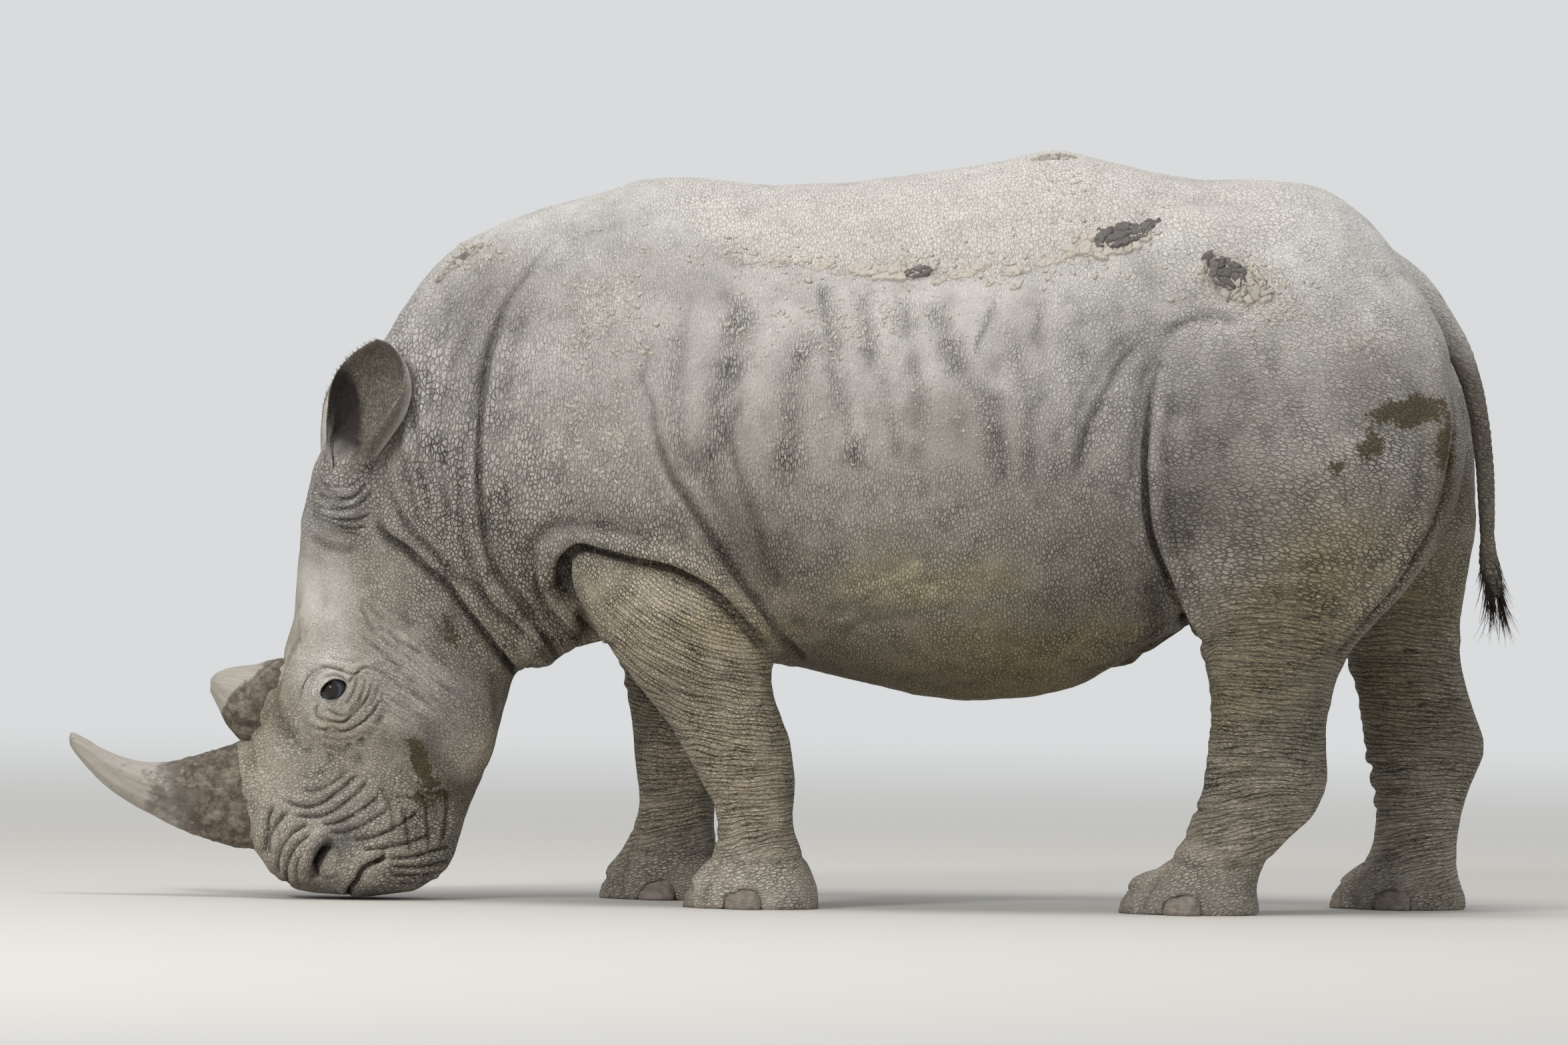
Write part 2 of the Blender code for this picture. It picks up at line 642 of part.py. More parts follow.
# Along the ear: (share of its length, radius of the cup, half angle of the rear wall,
#                 half angle of the front wall, which curls over), angles from the back of the cup
EAR_ROWS = [
    (-0.12, 4.0, 171.0, 171.0),
    (0.05, 5.2, 168.0, 170.0),
    (0.19, 6.2, 134.0, 154.0),
    (0.36, 7.8, 100.0, 132.0),
    (0.53, 9.4, 88.0, 124.0),
    (0.69, 9.3, 78.0, 112.0),
    (0.84, 7.4, 64.0, 92.0),
    (0.94, 4.7, 50.0, 66.0),
    (1.00, 2.2, 40.0, 48.0),
]


def ear(name, side):
    """A cupped leaf on a nearly closed tube: each section is an open arc with a wall."""
    axis = (EAR_TIP - EAR_BASE).normalized()
    opens = (EAR_OPENS - EAR_OPENS.dot(axis) * axis).normalized()
    across = axis.cross(opens)
    rings = []
    for share, radius, rear, front in EAR_ROWS:
        spine = EAR_BASE + (EAR_TIP - EAR_BASE) * share
        centre = spine - opens * (radius - 5.0) * 0.2
        arc = [math.radians(a) for a in np.linspace(-rear, front, EAR_ARC)]
        outer = [centre + (across * math.sin(a) - opens * math.cos(a)) * radius for a in arc]
        thin = max(0.35, EAR_WALL * min(1.0, radius / 4.0))
        inner = [
            centre + (across * math.sin(a) - opens * math.cos(a)) * (radius - thin) for a in arc
        ]
        ring = outer + inner[::-1]
        shift = EAR_RIGHT_SHIFT * (side + 1) / 2
        rings.append([Vector((p.x + shift, p.y * -side, p.z)) * UNIT for p in ring])
    return loft(name, rings, hollow=True)


def main():
    remove(*bpy.data.objects)
    flesh = clay()

    left_eye_y = skin_y(flesh, *EYE_PLACE) - EYE_SINK
    eyes = [
        lump(name, (EYE_PLACE[0], side * left_eye_y, EYE_PLACE[1]), (EYE_RADIUS,) * 3, 0, 2)
        for name, side in (("eye_left", -1), ("eye_right", 1))
    ]
    horns = [rod("horn_front", HORN_FRONT, 2.6), rod("horn_rear", HORN_REAR, 2.4)]
    for horn in horns:
        reduce_to(horn, 200)
    nails = []
    for foot, (front, back, side) in FEET.items():
        for toe, centre, heading in toe_places(front, back, side):
            name = foot.replace("foot", "nail") + "_" + toe
            nails.append(toenail(name, flesh, centre, heading))
    ears = [ear("ear_left", -1), ear("ear_right", 1)]
    tail = rod("tail", TAIL)
    tuft = rod("tail_tuft", TUFT)
    reduce_to(tail, 220)
    reduce_to(tuft, 90)

    carve(tail, tuft)
    for piece in nails + ears + [tail]:
        carve(flesh, piece)
    for piece in eyes + horns:
        carve(flesh, piece, SOCKET)
    carve(horns[1], horns[0], SOCKET)

    parts = {
        "hide": part_flesh(flesh) + ears + [tail],
        "horn": horns,
        "eye": eyes,
        "nail": nails,
        "hair": [tuft],
    }
    for finish, pieces in parts.items():
        for piece in pieces:
            drop_crumbs(piece)
            piece.data.materials.clear()
            piece.data.materials.append(material(finish))
            for polygon in piece.data.polygons:
                polygon.material_index = 0
                polygon.use_smooth = finish != "hide"


# ---------------------------------------------------------------- parting the flesh

FAR = 400.0  # a distance past the whole animal
# What lies inside each outline, seen from the left, and further out than the core is a leg.
CORE = 7.0
FORELEG_OUTLINES = {
    "left": [(-52, -9), (-52, 82), (-40, 84), (4, 60), (20, 40), (20, -9)],
    "right": [(-52, -9), (-52, 82), (-40, 84), (0, 60), (4, 40), (4, -9)],
}
HINDLEG_OUTLINES = {
    "left": [
        (62, -9), (66, 8), (84, 40), (84, 58), (76, 70), (74, 96),
        (80, 116), (92, 124), (118, 122), (158, 100), (158, -9),
    ],
    "right": [
        (112, -9), (114, 8), (118, 40), (112, 58), (96, 72), (80, 96),
        (84, 116), (92, 124), (118, 122), (158, 100), (158, -9),
    ],
}
JAW_OUTLINE = [(-96.2, -9), (-96.2, 1.5), (-91.0, 9.5), (-79, 21.0), (-62, 33), (-45, 33), (-45, -9)]


# Where a leg on the left is parted, above the ankle and above the foot: the (x, z) ends of a cut.
FORELEG_CUTS = [((-30, 33), (10, 29)), ((-30, 11.5), (10, 11.5))]
HINDLEG_CUTS = [((80, 58), (130, 54)), ((70, 11.5), (120, 12.5))]
RIGHT_FORELEG_AHEAD = -15.5  # the right foreleg stands this much further along X
RIGHT_HINDLEG_AHEAD = 30.0


def part_leg(flesh, outline, side, cuts, ahead, names):
    """Takes a leg off the flesh and parts it into its upper length, its lower length and its foot."""
    low, high = sorted((side * CORE, side * FAR))
    upper_name, lower_name, foot_name = names
    foot = part_off(flesh, prism("cutter", outline, low, high), foot_name)
    pieces = [foot]
    for (first, second), name in zip(cuts, (upper_name, lower_name)):
        first, second = [(x + ahead, z) for x, z in (first, second)]
        pieces.append(split(foot, first, second, name))
    return pieces


def part_flesh(flesh):
    """Head, jaw, neck, trunk and three lengths of each leg, with thin cuts between them."""
    head = split(flesh, (-62.0, 51.0), (-88.0, 123.0), "head")
    neck = split(flesh, (-50.5, 57.0), (-62.0, 147.0), "neck")
    jaw = part_off(head, prism("jaw_cutter", JAW_OUTLINE, -FAR, FAR), "lower_jaw")
    pieces = [head, jaw, neck]
    for name, side in (("left", -1), ("right", 1)):
        on_right = (side + 1) / 2
        fore_names = f"foreleg_upper_{name}", f"foreleg_lower_{name}", f"foot_front_{name}"
        hind_names = f"thigh_{name}", f"hindleg_lower_{name}", f"foot_hind_{name}"
        ahead = RIGHT_FORELEG_AHEAD * on_right
        pieces += part_leg(flesh, FORELEG_OUTLINES[name], side, FORELEG_CUTS, ahead, fore_names)
        ahead = RIGHT_HINDLEG_AHEAD * on_right
        pieces += part_leg(flesh, HINDLEG_OUTLINES[name], side, HINDLEG_CUTS, ahead, hind_names)
    flesh.name = "trunk"
    return pieces + [flesh]


main()
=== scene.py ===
# %% [markdown]
# # A white rhinoceros for a museum hall
# This lesson dresses a life-size model of a grazing white rhinoceros. The construction is
# already there as plain solids. Here one seamless hide is drawn over the flesh, and the horns,
# toenails, eyes and hairs are made fine enough to be looked at from a metre away.

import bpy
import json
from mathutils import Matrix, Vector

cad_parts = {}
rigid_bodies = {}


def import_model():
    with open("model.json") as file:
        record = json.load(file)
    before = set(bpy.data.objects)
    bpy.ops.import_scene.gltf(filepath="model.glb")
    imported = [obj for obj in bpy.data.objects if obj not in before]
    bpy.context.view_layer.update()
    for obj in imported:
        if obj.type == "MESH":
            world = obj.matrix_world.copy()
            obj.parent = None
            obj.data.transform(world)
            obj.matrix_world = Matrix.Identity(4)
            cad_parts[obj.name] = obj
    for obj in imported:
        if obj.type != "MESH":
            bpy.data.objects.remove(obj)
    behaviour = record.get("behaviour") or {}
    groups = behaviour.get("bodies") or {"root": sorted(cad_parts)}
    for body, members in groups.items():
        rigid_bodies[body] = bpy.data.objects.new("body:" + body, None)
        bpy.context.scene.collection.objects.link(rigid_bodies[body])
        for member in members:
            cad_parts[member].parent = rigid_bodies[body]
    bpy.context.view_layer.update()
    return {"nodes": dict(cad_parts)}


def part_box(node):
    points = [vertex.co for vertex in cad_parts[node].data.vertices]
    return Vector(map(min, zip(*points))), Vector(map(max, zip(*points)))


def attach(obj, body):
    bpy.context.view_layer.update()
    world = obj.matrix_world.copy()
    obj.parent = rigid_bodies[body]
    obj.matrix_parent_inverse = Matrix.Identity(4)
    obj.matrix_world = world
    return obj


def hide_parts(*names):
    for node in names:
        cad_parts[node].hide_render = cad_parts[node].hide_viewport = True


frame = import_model()
nodes = frame["nodes"]

# %% Tools for the whole lesson
import json
import math

import bmesh
import bpy
import numpy as np
from mathutils import Matrix, Vector, noise
from mathutils.bvhtree import BVHTree

SEED = 7
rng = np.random.default_rng(SEED)


def deselect_all():
    for obj in bpy.context.view_layer.objects:
        obj.select_set(False)


def make_active(obj):
    """Selects one object alone, as Blender's own tools need."""
    deselect_all()
    obj.select_set(True)
    bpy.context.view_layer.objects.active = obj


def apply_modifier(obj, kind, **settings):
    """Adds a modifier and applies it at once."""
    make_active(obj)
    modifier = obj.modifiers.new(kind.title(), kind)
    for key, value in settings.items():
        setattr(modifier, key, value)
    bpy.ops.object.modifier_apply(modifier=modifier.name)


def read(items, name, width, kind=np.float32):
    """One value of every point or edge of a mesh, as rows of that width."""
    flat = np.empty(len(items) * width, kind)
    items.foreach_get(name, flat)
    return flat.reshape(-1, width)


def points_of(obj):
    return read(obj.data.vertices, "co", 3).astype(float)


def normals_of(obj):
    obj.data.update()
    return read(obj.data.vertices, "normal", 3).astype(float)


def edges_of(obj):
    return read(obj.data.edges, "vertices", 2, np.int32)


def put_points(obj, points):
    obj.data.vertices.foreach_set("co", np.asarray(points, np.float32).ravel())
    obj.data.update()


def new_object(name, vertices, faces):
    mesh = bpy.data.meshes.new(name)
    mesh.from_pydata([tuple(v) for v in vertices], [], [tuple(f) for f in faces])
    mesh.update()
    obj = bpy.data.objects.new(name, mesh)
    bpy.context.scene.collection.objects.link(obj)
    return obj


def ring_faces(rings, around):
    """Four-sided faces between neighbouring rings of points."""
    return [(i * around + k, i * around + (k + 1) % around,
             (i + 1) * around + (k + 1) % around, (i + 1) * around + k)
            for i in range(rings - 1) for k in range(around)]


def triangles(obj):
    return sum(len(p.vertices) - 2 for p in obj.data.polygons)


def shade_smooth(obj):
    for polygon in obj.data.polygons:
        polygon.use_smooth = True


def face_outward(obj):
    """Turns all faces of a closed mesh outwards."""
    make_active(obj)
    bpy.ops.object.mode_set(mode="EDIT")
    bpy.ops.mesh.select_all(action="SELECT")
    bpy.ops.mesh.normals_make_consistent(inside=False)
    bpy.ops.object.mode_set(mode="OBJECT")


def metres(millimetres):
    return round(float(millimetres) / 1000, 7)


def numbers(table, lengths):
    """The rows of a table of numbers. The first columns are lengths, and become metres."""
    rows = [line.split() for line in table.strip().splitlines()]
    return [[metres(v) for v in row[:lengths]] + [float(v) for v in row[lengths:]] for row in rows]


def path(text):
    """Places written in millimetres, such as "-460,1520 -550,1430", as (X, Z) in metres."""
    return [tuple(metres(v) for v in pair.split(",")) for pair in text.split()]


# %% [markdown]
# ## The studio
# A museum piece is looked at in even light. The floor is plain and pale. One very large soft
# lamp hangs overhead, as a bright sky does, and a weaker one stands on the animal's left and
# rakes along the hide, so that its folds cast shadows. The camera stands 40 m away on a long
# lens, level with the back, and is rolled by less than one degree.

# %% Floor
bpy.ops.mesh.primitive_plane_add(size=60, location=(0, 0, 0))
floor = bpy.context.object
floor.name = "studio_floor"


# %% Colours
def linear(hexadecimal):
    """An sRGB colour such as '#c8b090' as linear red, green and blue."""
    values = [int(hexadecimal[i : i + 2], 16) / 255 for i in (1, 3, 5)]
    return [v / 12.92 if v <= 0.04045 else ((v + 0.055) / 1.055) ** 2.4 for v in values]


def rgba(hexadecimal):
    return (*linear(hexadecimal), 1.0)


# %% Nodes
def start_material(name):
    """A new material, and its Principled shader. The nodes made after this go into it."""
    global node_tree
    made = bpy.data.materials.new(name)
    made.use_nodes = True
    node_tree = made.node_tree
    return made, node_tree.nodes["Principled BSDF"]


def wire(value, socket):
    """Gives an input a plain value or another node's output."""
    if isinstance(value, bpy.types.NodeSocket):
        node_tree.links.new(value, socket)
    else:
        socket.default_value = value


def node(kind, settings=None, **inputs):
    """Adds a shader node. Inputs go by their names, or by numbers as i0, i1 and i2."""
    made = node_tree.nodes.new("ShaderNode" + kind)
    for key, value in (settings or {}).items():
        setattr(made, key, value)
    for key, value in inputs.items():
        numbered = key[0] == "i" and key[1:].isdigit()
        wire(value, made.inputs[int(key[1:]) if numbered else key.replace("_", " ")])
    return made


def object_space():
    return node("TexCoord").outputs["Object"]


def grain(space, scale, detail, roughness=0.5):
    """Noise from 0 to 1 with so many lumps to a metre of the space."""
    return node("TexNoise", Vector=space, Scale=scale, Detail=detail, Roughness=roughness).outputs["Fac"]


def attribute(name, output="Fac"):
    return node("Attribute", {"attribute_name": name}).outputs[output]


def maths(operation, first, second=0.0, third=0.0):
    return node("Math", {"operation": operation}, i0=first, i1=second, i2=third).outputs[0]


def times(first, second, plus=None):
    if plus is None:
        return maths("MULTIPLY", first, second)
    return maths("MULTIPLY_ADD", first, second, plus)


def rescaled(value, low, high, new_low=0.0, new_high=1.0):
    """The value's stretch from low to high, as a soft step between two new values."""
    made = node("MapRange", {"interpolation_type": "SMOOTHSTEP"}, Value=value)
    for key, number in (("From Min", low), ("From Max", high), ("To Min", new_low), ("To Max", new_high)):
        made.inputs[key].default_value = number
    return made.outputs["Result"]


def blend_colours(share, first, second):
    """A blend of two colours, each a hexadecimal text or another node's output."""
    made = node("Mix", {"data_type": "RGBA"}, i0=share)
    for number, value in ((6, first), (7, second)):
        wire(rgba(value) if isinstance(value, str) else value, made.inputs[number])
    return made.outputs[2]


def emboss(shader, height, distance):
    """Makes light see a height pattern as relief that deep."""
    wire(node("Bump", Height=height, Distance=distance).outputs["Normal"], shader.inputs["Normal"])


# %% The floor's finish: matt painted screed
AIR = "#d9dbdc"
screed, shader = start_material("matt_painted_screed")
place = object_space()
wire(blend_colours(grain(place, 180.0, 2.0), "#bdbab4", "#c6c3bd"), shader.inputs["Base Color"])
shader.inputs["Roughness"].default_value = 0.9
# Far from the animal the floor glows like the air above it, so that no horizon shows
far_off = rescaled(node("VectorMath", {"operation": "LENGTH"}, i0=place).outputs["Value"], 2.5, 14.0)
glow = node("Emission", Color=rgba(AIR))
faded = node("MixShader", i0=far_off, i1=shader.outputs[0], i2=glow.outputs[0])
wire(faded.outputs[0], screed.node_tree.nodes["Material Output"].inputs["Surface"])
floor.data.materials.append(screed)

# %% Lights and world
world = bpy.data.worlds.new("studio_air")
bpy.context.scene.world = world
world.use_nodes = True
world.node_tree.nodes["Background"].inputs["Color"].default_value = rgba(AIR)
world.node_tree.nodes["Background"].inputs["Strength"].default_value = 1.0
bpy.context.scene.view_settings.view_transform = "Standard"


def soft_lamp(name, place, target, size, watts, tone):
    bpy.ops.object.light_add(type="AREA", location=place)
    lamp = bpy.context.object
    lamp.name = name
    lamp.data.shape = "DISK"
    lamp.data.size = size
    lamp.data.energy = watts
    lamp.data.color = linear(tone)
    lamp.rotation_euler = (Vector(target) - Vector(place)).to_track_quat("-Z", "Y").to_euler()


soft_lamp("sky_lamp", (0.2, -1.6, 8.0), (0.1, 0.0, 0.6), 3.6, 300, "#fefeff")
soft_lamp("raking_lamp", (-5.0, -7.0, 5.4), (-0.1, 0.0, 0.7), 1.6, 400, "#fffdfa")

# %% Camera
SEEN_WIDTH = 3.447  # metres of floor across the picture, at the animal
DISTANCE = 40.0
SENSOR = 36.0
AIM = Vector((-0.0212, 0.0, 0.8395))
ROLL = math.atan(0.014)
RISE = math.radians(0.9)

bpy.ops.object.camera_add()
camera = bpy.context.object
camera.data.sensor_width = SENSOR
camera.data.lens = SENSOR * DISTANCE / SEEN_WIDTH
camera.data.clip_end = 200.0
back = Vector((0.0, -math.cos(RISE), math.sin(RISE)))
right = Vector((math.cos(ROLL), 0.0, math.sin(ROLL)))
right = (right - right.dot(back) * back).normalized()
up = back.cross(right)
camera.matrix_world = Matrix.Translation(AIM + back * DISTANCE) @ Matrix(
    (right, up, back)
).transposed().to_4x4()
bpy.context.scene.camera = camera
print("lens:", round(camera.data.lens, 1), "mm")

# %% [markdown]
# ## The hide, step 1: one closed surface
# The flesh is parted into sixteen solids with cuts thinner than a hair. Copies of them are
# swollen by a millimetre, so that they overlap, and a voxel remesh welds them into one skin.
# The head needs finer work than the flank. So the copies are first seen through a kind of
# magnifying glass round the head, remeshed with one voxel size, and then shrunk back.

# %% Weld the flesh
FLESH = ["head", "lower_jaw", "neck", "trunk"]
for side in ("left", "right"):
    FLESH += [f"foreleg_upper_{side}", f"foreleg_lower_{side}", f"foot_front_{side}"]
    FLESH += [f"thigh_{side}", f"hindleg_lower_{side}", f"foot_hind_{side}"]
SWELL = 0.001
VOXEL = 0.0105


def copy_of(name, merge=1e-5):
    """A copy of a solid with its loose triangles merged."""
    made = bpy.data.objects.new(name + "_copy", nodes[name].data.copy())
    bpy.context.scene.collection.objects.link(made)
    shape = bmesh.new()
    shape.from_mesh(made.data)
    bmesh.ops.remove_doubles(shape, verts=shape.verts, dist=merge)
    shape.to_mesh(made.data)
    shape.free()
    made.data.materials.clear()
    return made


def join(objects, name):
    make_active(objects[0])
    for obj in objects:
        obj.select_set(True)
    bpy.ops.object.join()
    bpy.context.object.name = name
    bpy.context.object.data.name = name
    return bpy.context.object


copies = [copy_of(name) for name in FLESH]
for obj in copies:
    put_points(obj, points_of(obj) + normals_of(obj) * SWELL)
hide = join(copies, "hide")

# %% Look at the head through a magnifying glass
GLASS_CENTRE = np.array([-0.98, 0.0, 0.45])
GLASS_POWER = 1.7
GLASS_EDGE = (0.48, 0.85)  # full power inside the first radius, none past the second


def smooth_step(value, start, end):
    share = np.clip((value - start) / (end - start), 0.0, 1.0)
    return share * share * (3.0 - 2.0 * share)


radii = np.linspace(0.0, 4.0, 801)
power = 1.0 + (GLASS_POWER - 1.0) * (1.0 - smooth_step(radii, *GLASS_EDGE))
seen_radii = np.concatenate([[0.0], np.cumsum((power[1:] + power[:-1]) / 2 * np.diff(radii))])


def through_glass(points, take_off=False):
    """Points as seen through the glass, or put back when it is taken off."""
    offset = points - GLASS_CENTRE
    radius = np.linalg.norm(offset, axis=1) + 1e-9
    table = (seen_radii, radii) if take_off else (radii, seen_radii)
    return GLASS_CENTRE + offset * (np.interp(radius, *table) / radius)[:, None]


put_points(hide, through_glass(points_of(hide)))
apply_modifier(hide, "REMESH", mode="VOXEL", voxel_size=VOXEL)
put_points(hide, through_glass(points_of(hide), take_off=True))
print("welded hide:", len(hide.data.vertices), "points")


# %% Iron out the facets
def relax(points, edges, strengths):
    """Moves each point towards the middle of its neighbours, once for each strength."""
    ends = np.concatenate([edges, edges[:, ::-1]])
    count = np.bincount(ends[:, 0], minlength=len(points))
    for strength in strengths:
        middle = np.stack(
            [np.bincount(ends[:, 0], points[ends[:, 1], k], len(points)) for k in range(3)], 1
        )
        middle /= np.maximum(count, 1)[:, None]
        share = strength if np.isscalar(strength) else strength[:, None]
        points = points + share * (middle - points)
    return points


FLOOR_BAND = (0.004, 0.02)  # soles stay flat below the first height
IN_OUT = (0.6, -0.62)  # a pull in and a push out keep the volume
IRONINGS = 45

points, edges = points_of(hide), edges_of(hide)
off_floor = smooth_step(points[:, 2], *FLOOR_BAND)
points = relax(points, edges, [s * off_floor for s in IN_OUT * IRONINGS])
points = relax(points, edges, [0.5 * off_floor] * 4)
put_points(hide, points)
shade_smooth(hide)

# %% [markdown]
# ## The ears and the tail
# An ear is a leaf of gristle rolled into a tube at its base. It is lofted from open rings: each
# ring is an arc with a thick wall, and its two ends are the rims. The tube opens upwards into
# a cup, and the front rim rolls inwards. The ears and the tail are thinner than the voxels of
# the hide. So they are made on their own and then welded on with a Boolean union, and the
# weld is smoothed, as a modeller smears clay over a joint.

# %% One ear
EAR_BASE = np.array([-0.984, -0.142, 0.935])
EAR_TIP = np.array([-0.906, -0.206, 1.228])
EAR_RISE = EAR_TIP - EAR_BASE
EAR_AXIS = EAR_RISE / np.linalg.norm(EAR_RISE)
EAR_OPENS = np.array([-0.3, -0.95, 0.05])  # the way the hollow faces
ear_out = EAR_OPENS - EAR_OPENS.dot(EAR_AXIS) * EAR_AXIS
ear_out /= np.linalg.norm(ear_out)
ear_across = np.cross(EAR_AXIS, ear_out)
EAR_RIGHT_AHEAD = np.array([-0.02, 0.0, -0.03])
EAR_WALL = 0.0095
# Along the ear: share of its length, radius, half angles of the rear and the front wall
EAR_ROWS = np.array([
    (-0.16, 0.036, 172.0, 172.0),
    (0.05, 0.05, 168.0, 170.0),
    (0.19, 0.06, 134.0, 156.0),
    (0.36, 0.077, 100.0, 136.0),
    (0.53, 0.092, 88.0, 127.0),
    (0.69, 0.091, 78.0, 113.0),
    (0.84, 0.073, 64.0, 92.0),
    (0.94, 0.047, 50.0, 66.0),
    (1.0, 0.02, 40.0, 48.0),
])
EAR_RINGS = 46
ARC_POINTS = 26


def blended(rows, share):
    """A row of a table at a share of its length, on a smooth curve through the rows."""
    at = np.clip(share, rows[0, 0], rows[-1, 0])
    i = int(np.clip(np.searchsorted(rows[:, 0], at) - 1, 0, len(rows) - 2))
    t = (at - rows[i, 0]) / (rows[i + 1, 0] - rows[i, 0])
    before, after = rows[max(i - 1, 0)], rows[min(i + 2, len(rows) - 1)]
    a, b = rows[i], rows[i + 1]
    return 0.5 * (2 * a + (b - before) * t + (2 * before - 5 * a + 4 * b - after) * t**2
                  + (3 * a - before - 3 * b + after) * t**3)


def middle_of_ear(share, radius):
    return EAR_BASE + EAR_RISE * share - ear_out * (radius - 0.05) * 0.2


def make_ear(name, side):
    """One ear from open rings. The side is -1 for the left ear and 1 for the right one."""
    rings = []
    for share in np.linspace(EAR_ROWS[0, 0], 1.0, EAR_RINGS):
        _, radius, rear, front = blended(EAR_ROWS, share)
        centre = middle_of_ear(share, radius)
        wall = max(0.0035, EAR_WALL * min(1.0, radius / 0.04) * (1.0 - 0.35 * max(share, 0)))
        angles = np.radians(np.linspace(-rear, front, ARC_POINTS))
        thin = wall * (0.55 + 0.45 * np.sin(np.linspace(0.12, math.pi - 0.12, ARC_POINTS)))
        bead = 1.0 + 0.5 * np.exp(-(((angles - angles[-1]) / 0.16) ** 2)) * smooth_step(share, 0.1, 0.3)
        way = np.sin(angles)[:, None] * ear_across - np.cos(angles)[:, None] * ear_out
        outer = centre + way * radius
        inner = centre + way * (radius - thin * bead)[:, None]
        turn = np.cos(angles)[:, None] * ear_across + np.sin(angles)[:, None] * ear_out
        front_rim = (outer[-1] + inner[-1]) / 2 + turn[-1] * thin[-1] * 0.6
        rear_rim = (outer[0] + inner[0]) / 2 - turn[0] * thin[0] * 0.6
        rings.append(np.concatenate([outer, [front_rim], inner[::-1], [rear_rim]]))
    ring_size = len(rings[0])
    vertices = np.concatenate(rings)
    if side > 0:
        vertices = vertices * [1, -1, 1] + EAR_RIGHT_AHEAD
    faces = ring_faces(EAR_RINGS, ring_size)
    for start in (0, (EAR_RINGS - 1) * ring_size):  # each end is closed by a strip across the wall
        for k in range(ARC_POINTS - 1):
            a, b = start + k, start + k + 1
            c, d = start + 2 * ARC_POINTS - k - 1, start + 2 * ARC_POINTS - k
            faces.append((a, b, c, d))
        faces.append((start + ARC_POINTS - 1, start + ARC_POINTS, start + ARC_POINTS + 1))
        faces.append((start, start + 2 * ARC_POINTS, start + 2 * ARC_POINTS + 1))
    ear = new_object(name, vertices, faces)
    face_outward(ear)
    put_points(ear, relax(points_of(ear), edges_of(ear), [0.5] * 3))
    return ear


ears = [make_ear("ear_left_leaf", -1), make_ear("ear_right_leaf", 1)]


# %% The tail, ringed with wrinkles
def fine_copy(name, voxel, passes, grow=0.0, added=()):
    """A solid's copy, with others added to it, remeshed finely and ironed smooth."""
    made = copy_of(name)
    if added:
        made = join([made, *added], name + "_copy")
    apply_modifier(made, "REMESH", mode="VOXEL", voxel_size=voxel)
    ironed = relax(points_of(made), edges_of(made), IN_OUT * passes)
    put_points(made, ironed)
    put_points(made, ironed + normals_of(made) * grow)
    shade_smooth(made)
    return made


TAIL_VOXEL = 0.0052
TAIL_RING_SPACING = 0.017
# A fleshy end hangs inside the brush. It is the brush's solid, made slimmer and shorter
SLIMMER = np.array([0.75, 0.75, 0.6])
BRUSH_TOP, END_TOP = np.array([1.5335, 0.0, 0.8245]), np.array([1.5262, 0.0, 0.8285])
fleshy_end = copy_of("tail_tuft")
put_points(fleshy_end, points_of(fleshy_end) * SLIMMER + (END_TOP - SLIMMER * BRUSH_TOP))
tail = fine_copy("tail", TAIL_VOXEL, 12, added=[fleshy_end])
tail_points = points_of(tail)
down = tail_points[:, 2] + 0.45 * (tail_points[:, 0] - 1.45)
wave = np.sin(2 * math.pi * down / TAIL_RING_SPACING + 1.5 * np.sin(9.0 * tail_points[:, 1] / 0.05))
tail_points += normals_of(tail) * (0.0016 * np.minimum(wave + 0.5, 0.6))[:, None]
put_points(tail, tail_points)
print("tail:", triangles(tail), "triangles")

# %% The horns' shape
# Along each horn: upper edge (X, Z), lower edge (X, Z), half width
FRONT_HORN = np.array([
    (-1.145, 0.355, -1.115, 0.125, 0.072), (-1.21, 0.34, -1.176, 0.106, 0.082),
    (-1.278, 0.317, -1.252, 0.117, 0.07), (-1.344, 0.299, -1.321, 0.14, 0.059),
    (-1.406, 0.292, -1.385, 0.169, 0.049), (-1.461, 0.301, -1.45, 0.202, 0.039),
    (-1.51, 0.32, -1.507, 0.242, 0.03), (-1.55, 0.342, -1.554, 0.289, 0.021),
    (-1.573, 0.354, -1.581, 0.324, 0.012), (-1.583, 0.355, -1.585, 0.341, 0.004)])
REAR_HORN = np.array([
    (-1.08, 0.53, -1.15, 0.33, 0.06), (-1.134, 0.522, -1.206, 0.346, 0.072),
    (-1.182, 0.51, -1.228, 0.362, 0.062), (-1.226, 0.505, -1.249, 0.392, 0.05),
    (-1.261, 0.493, -1.265, 0.426, 0.034), (-1.277, 0.478, -1.277, 0.45, 0.012)])


def make_horn(name, table, first, last, rings, around, roundness, grow=0.0):
    """Lofts the stretch of a horn from one share of its length to another. It also gives
    each point's share of the length and its angle, for the finish."""
    rows = np.column_stack([np.linspace(0, 1, len(table)), table])
    angles = np.linspace(0, 2 * math.pi, around, endpoint=False)
    bow = [np.abs(v) ** (2 / roundness) * np.sign(v) for v in (np.cos(angles), np.sin(angles))]
    vertices, along = [], []
    for share in np.linspace(first, last, rings):
        _, ux, uz, lx, lz, half = blended(rows, share)
        middle = np.array([(ux + lx) / 2, 0, (uz + lz) / 2])
        up = np.array([(ux - lx) / 2, 0, (uz - lz) / 2])
        up *= 1 + grow / np.linalg.norm(up)
        vertices.append(middle + bow[1][:, None] * up + bow[0][:, None] * [0, half + grow, 0])
        along += [share] * around
    faces = ring_faces(rings, around)
    vertices = np.concatenate(vertices)
    ends = [vertices[:around].mean(0), vertices[-around:].mean(0)]
    count = len(vertices)
    for k in range(around):
        faces.append((count, (k + 1) % around, k))
        faces.append((count + 1, count - around + k, count - around + (k + 1) % around))
    horn = new_object(name, np.concatenate([vertices, ends]), faces)
    return horn, np.array(along + [first, last]), np.append(np.tile(angles, rings), [0, 0])


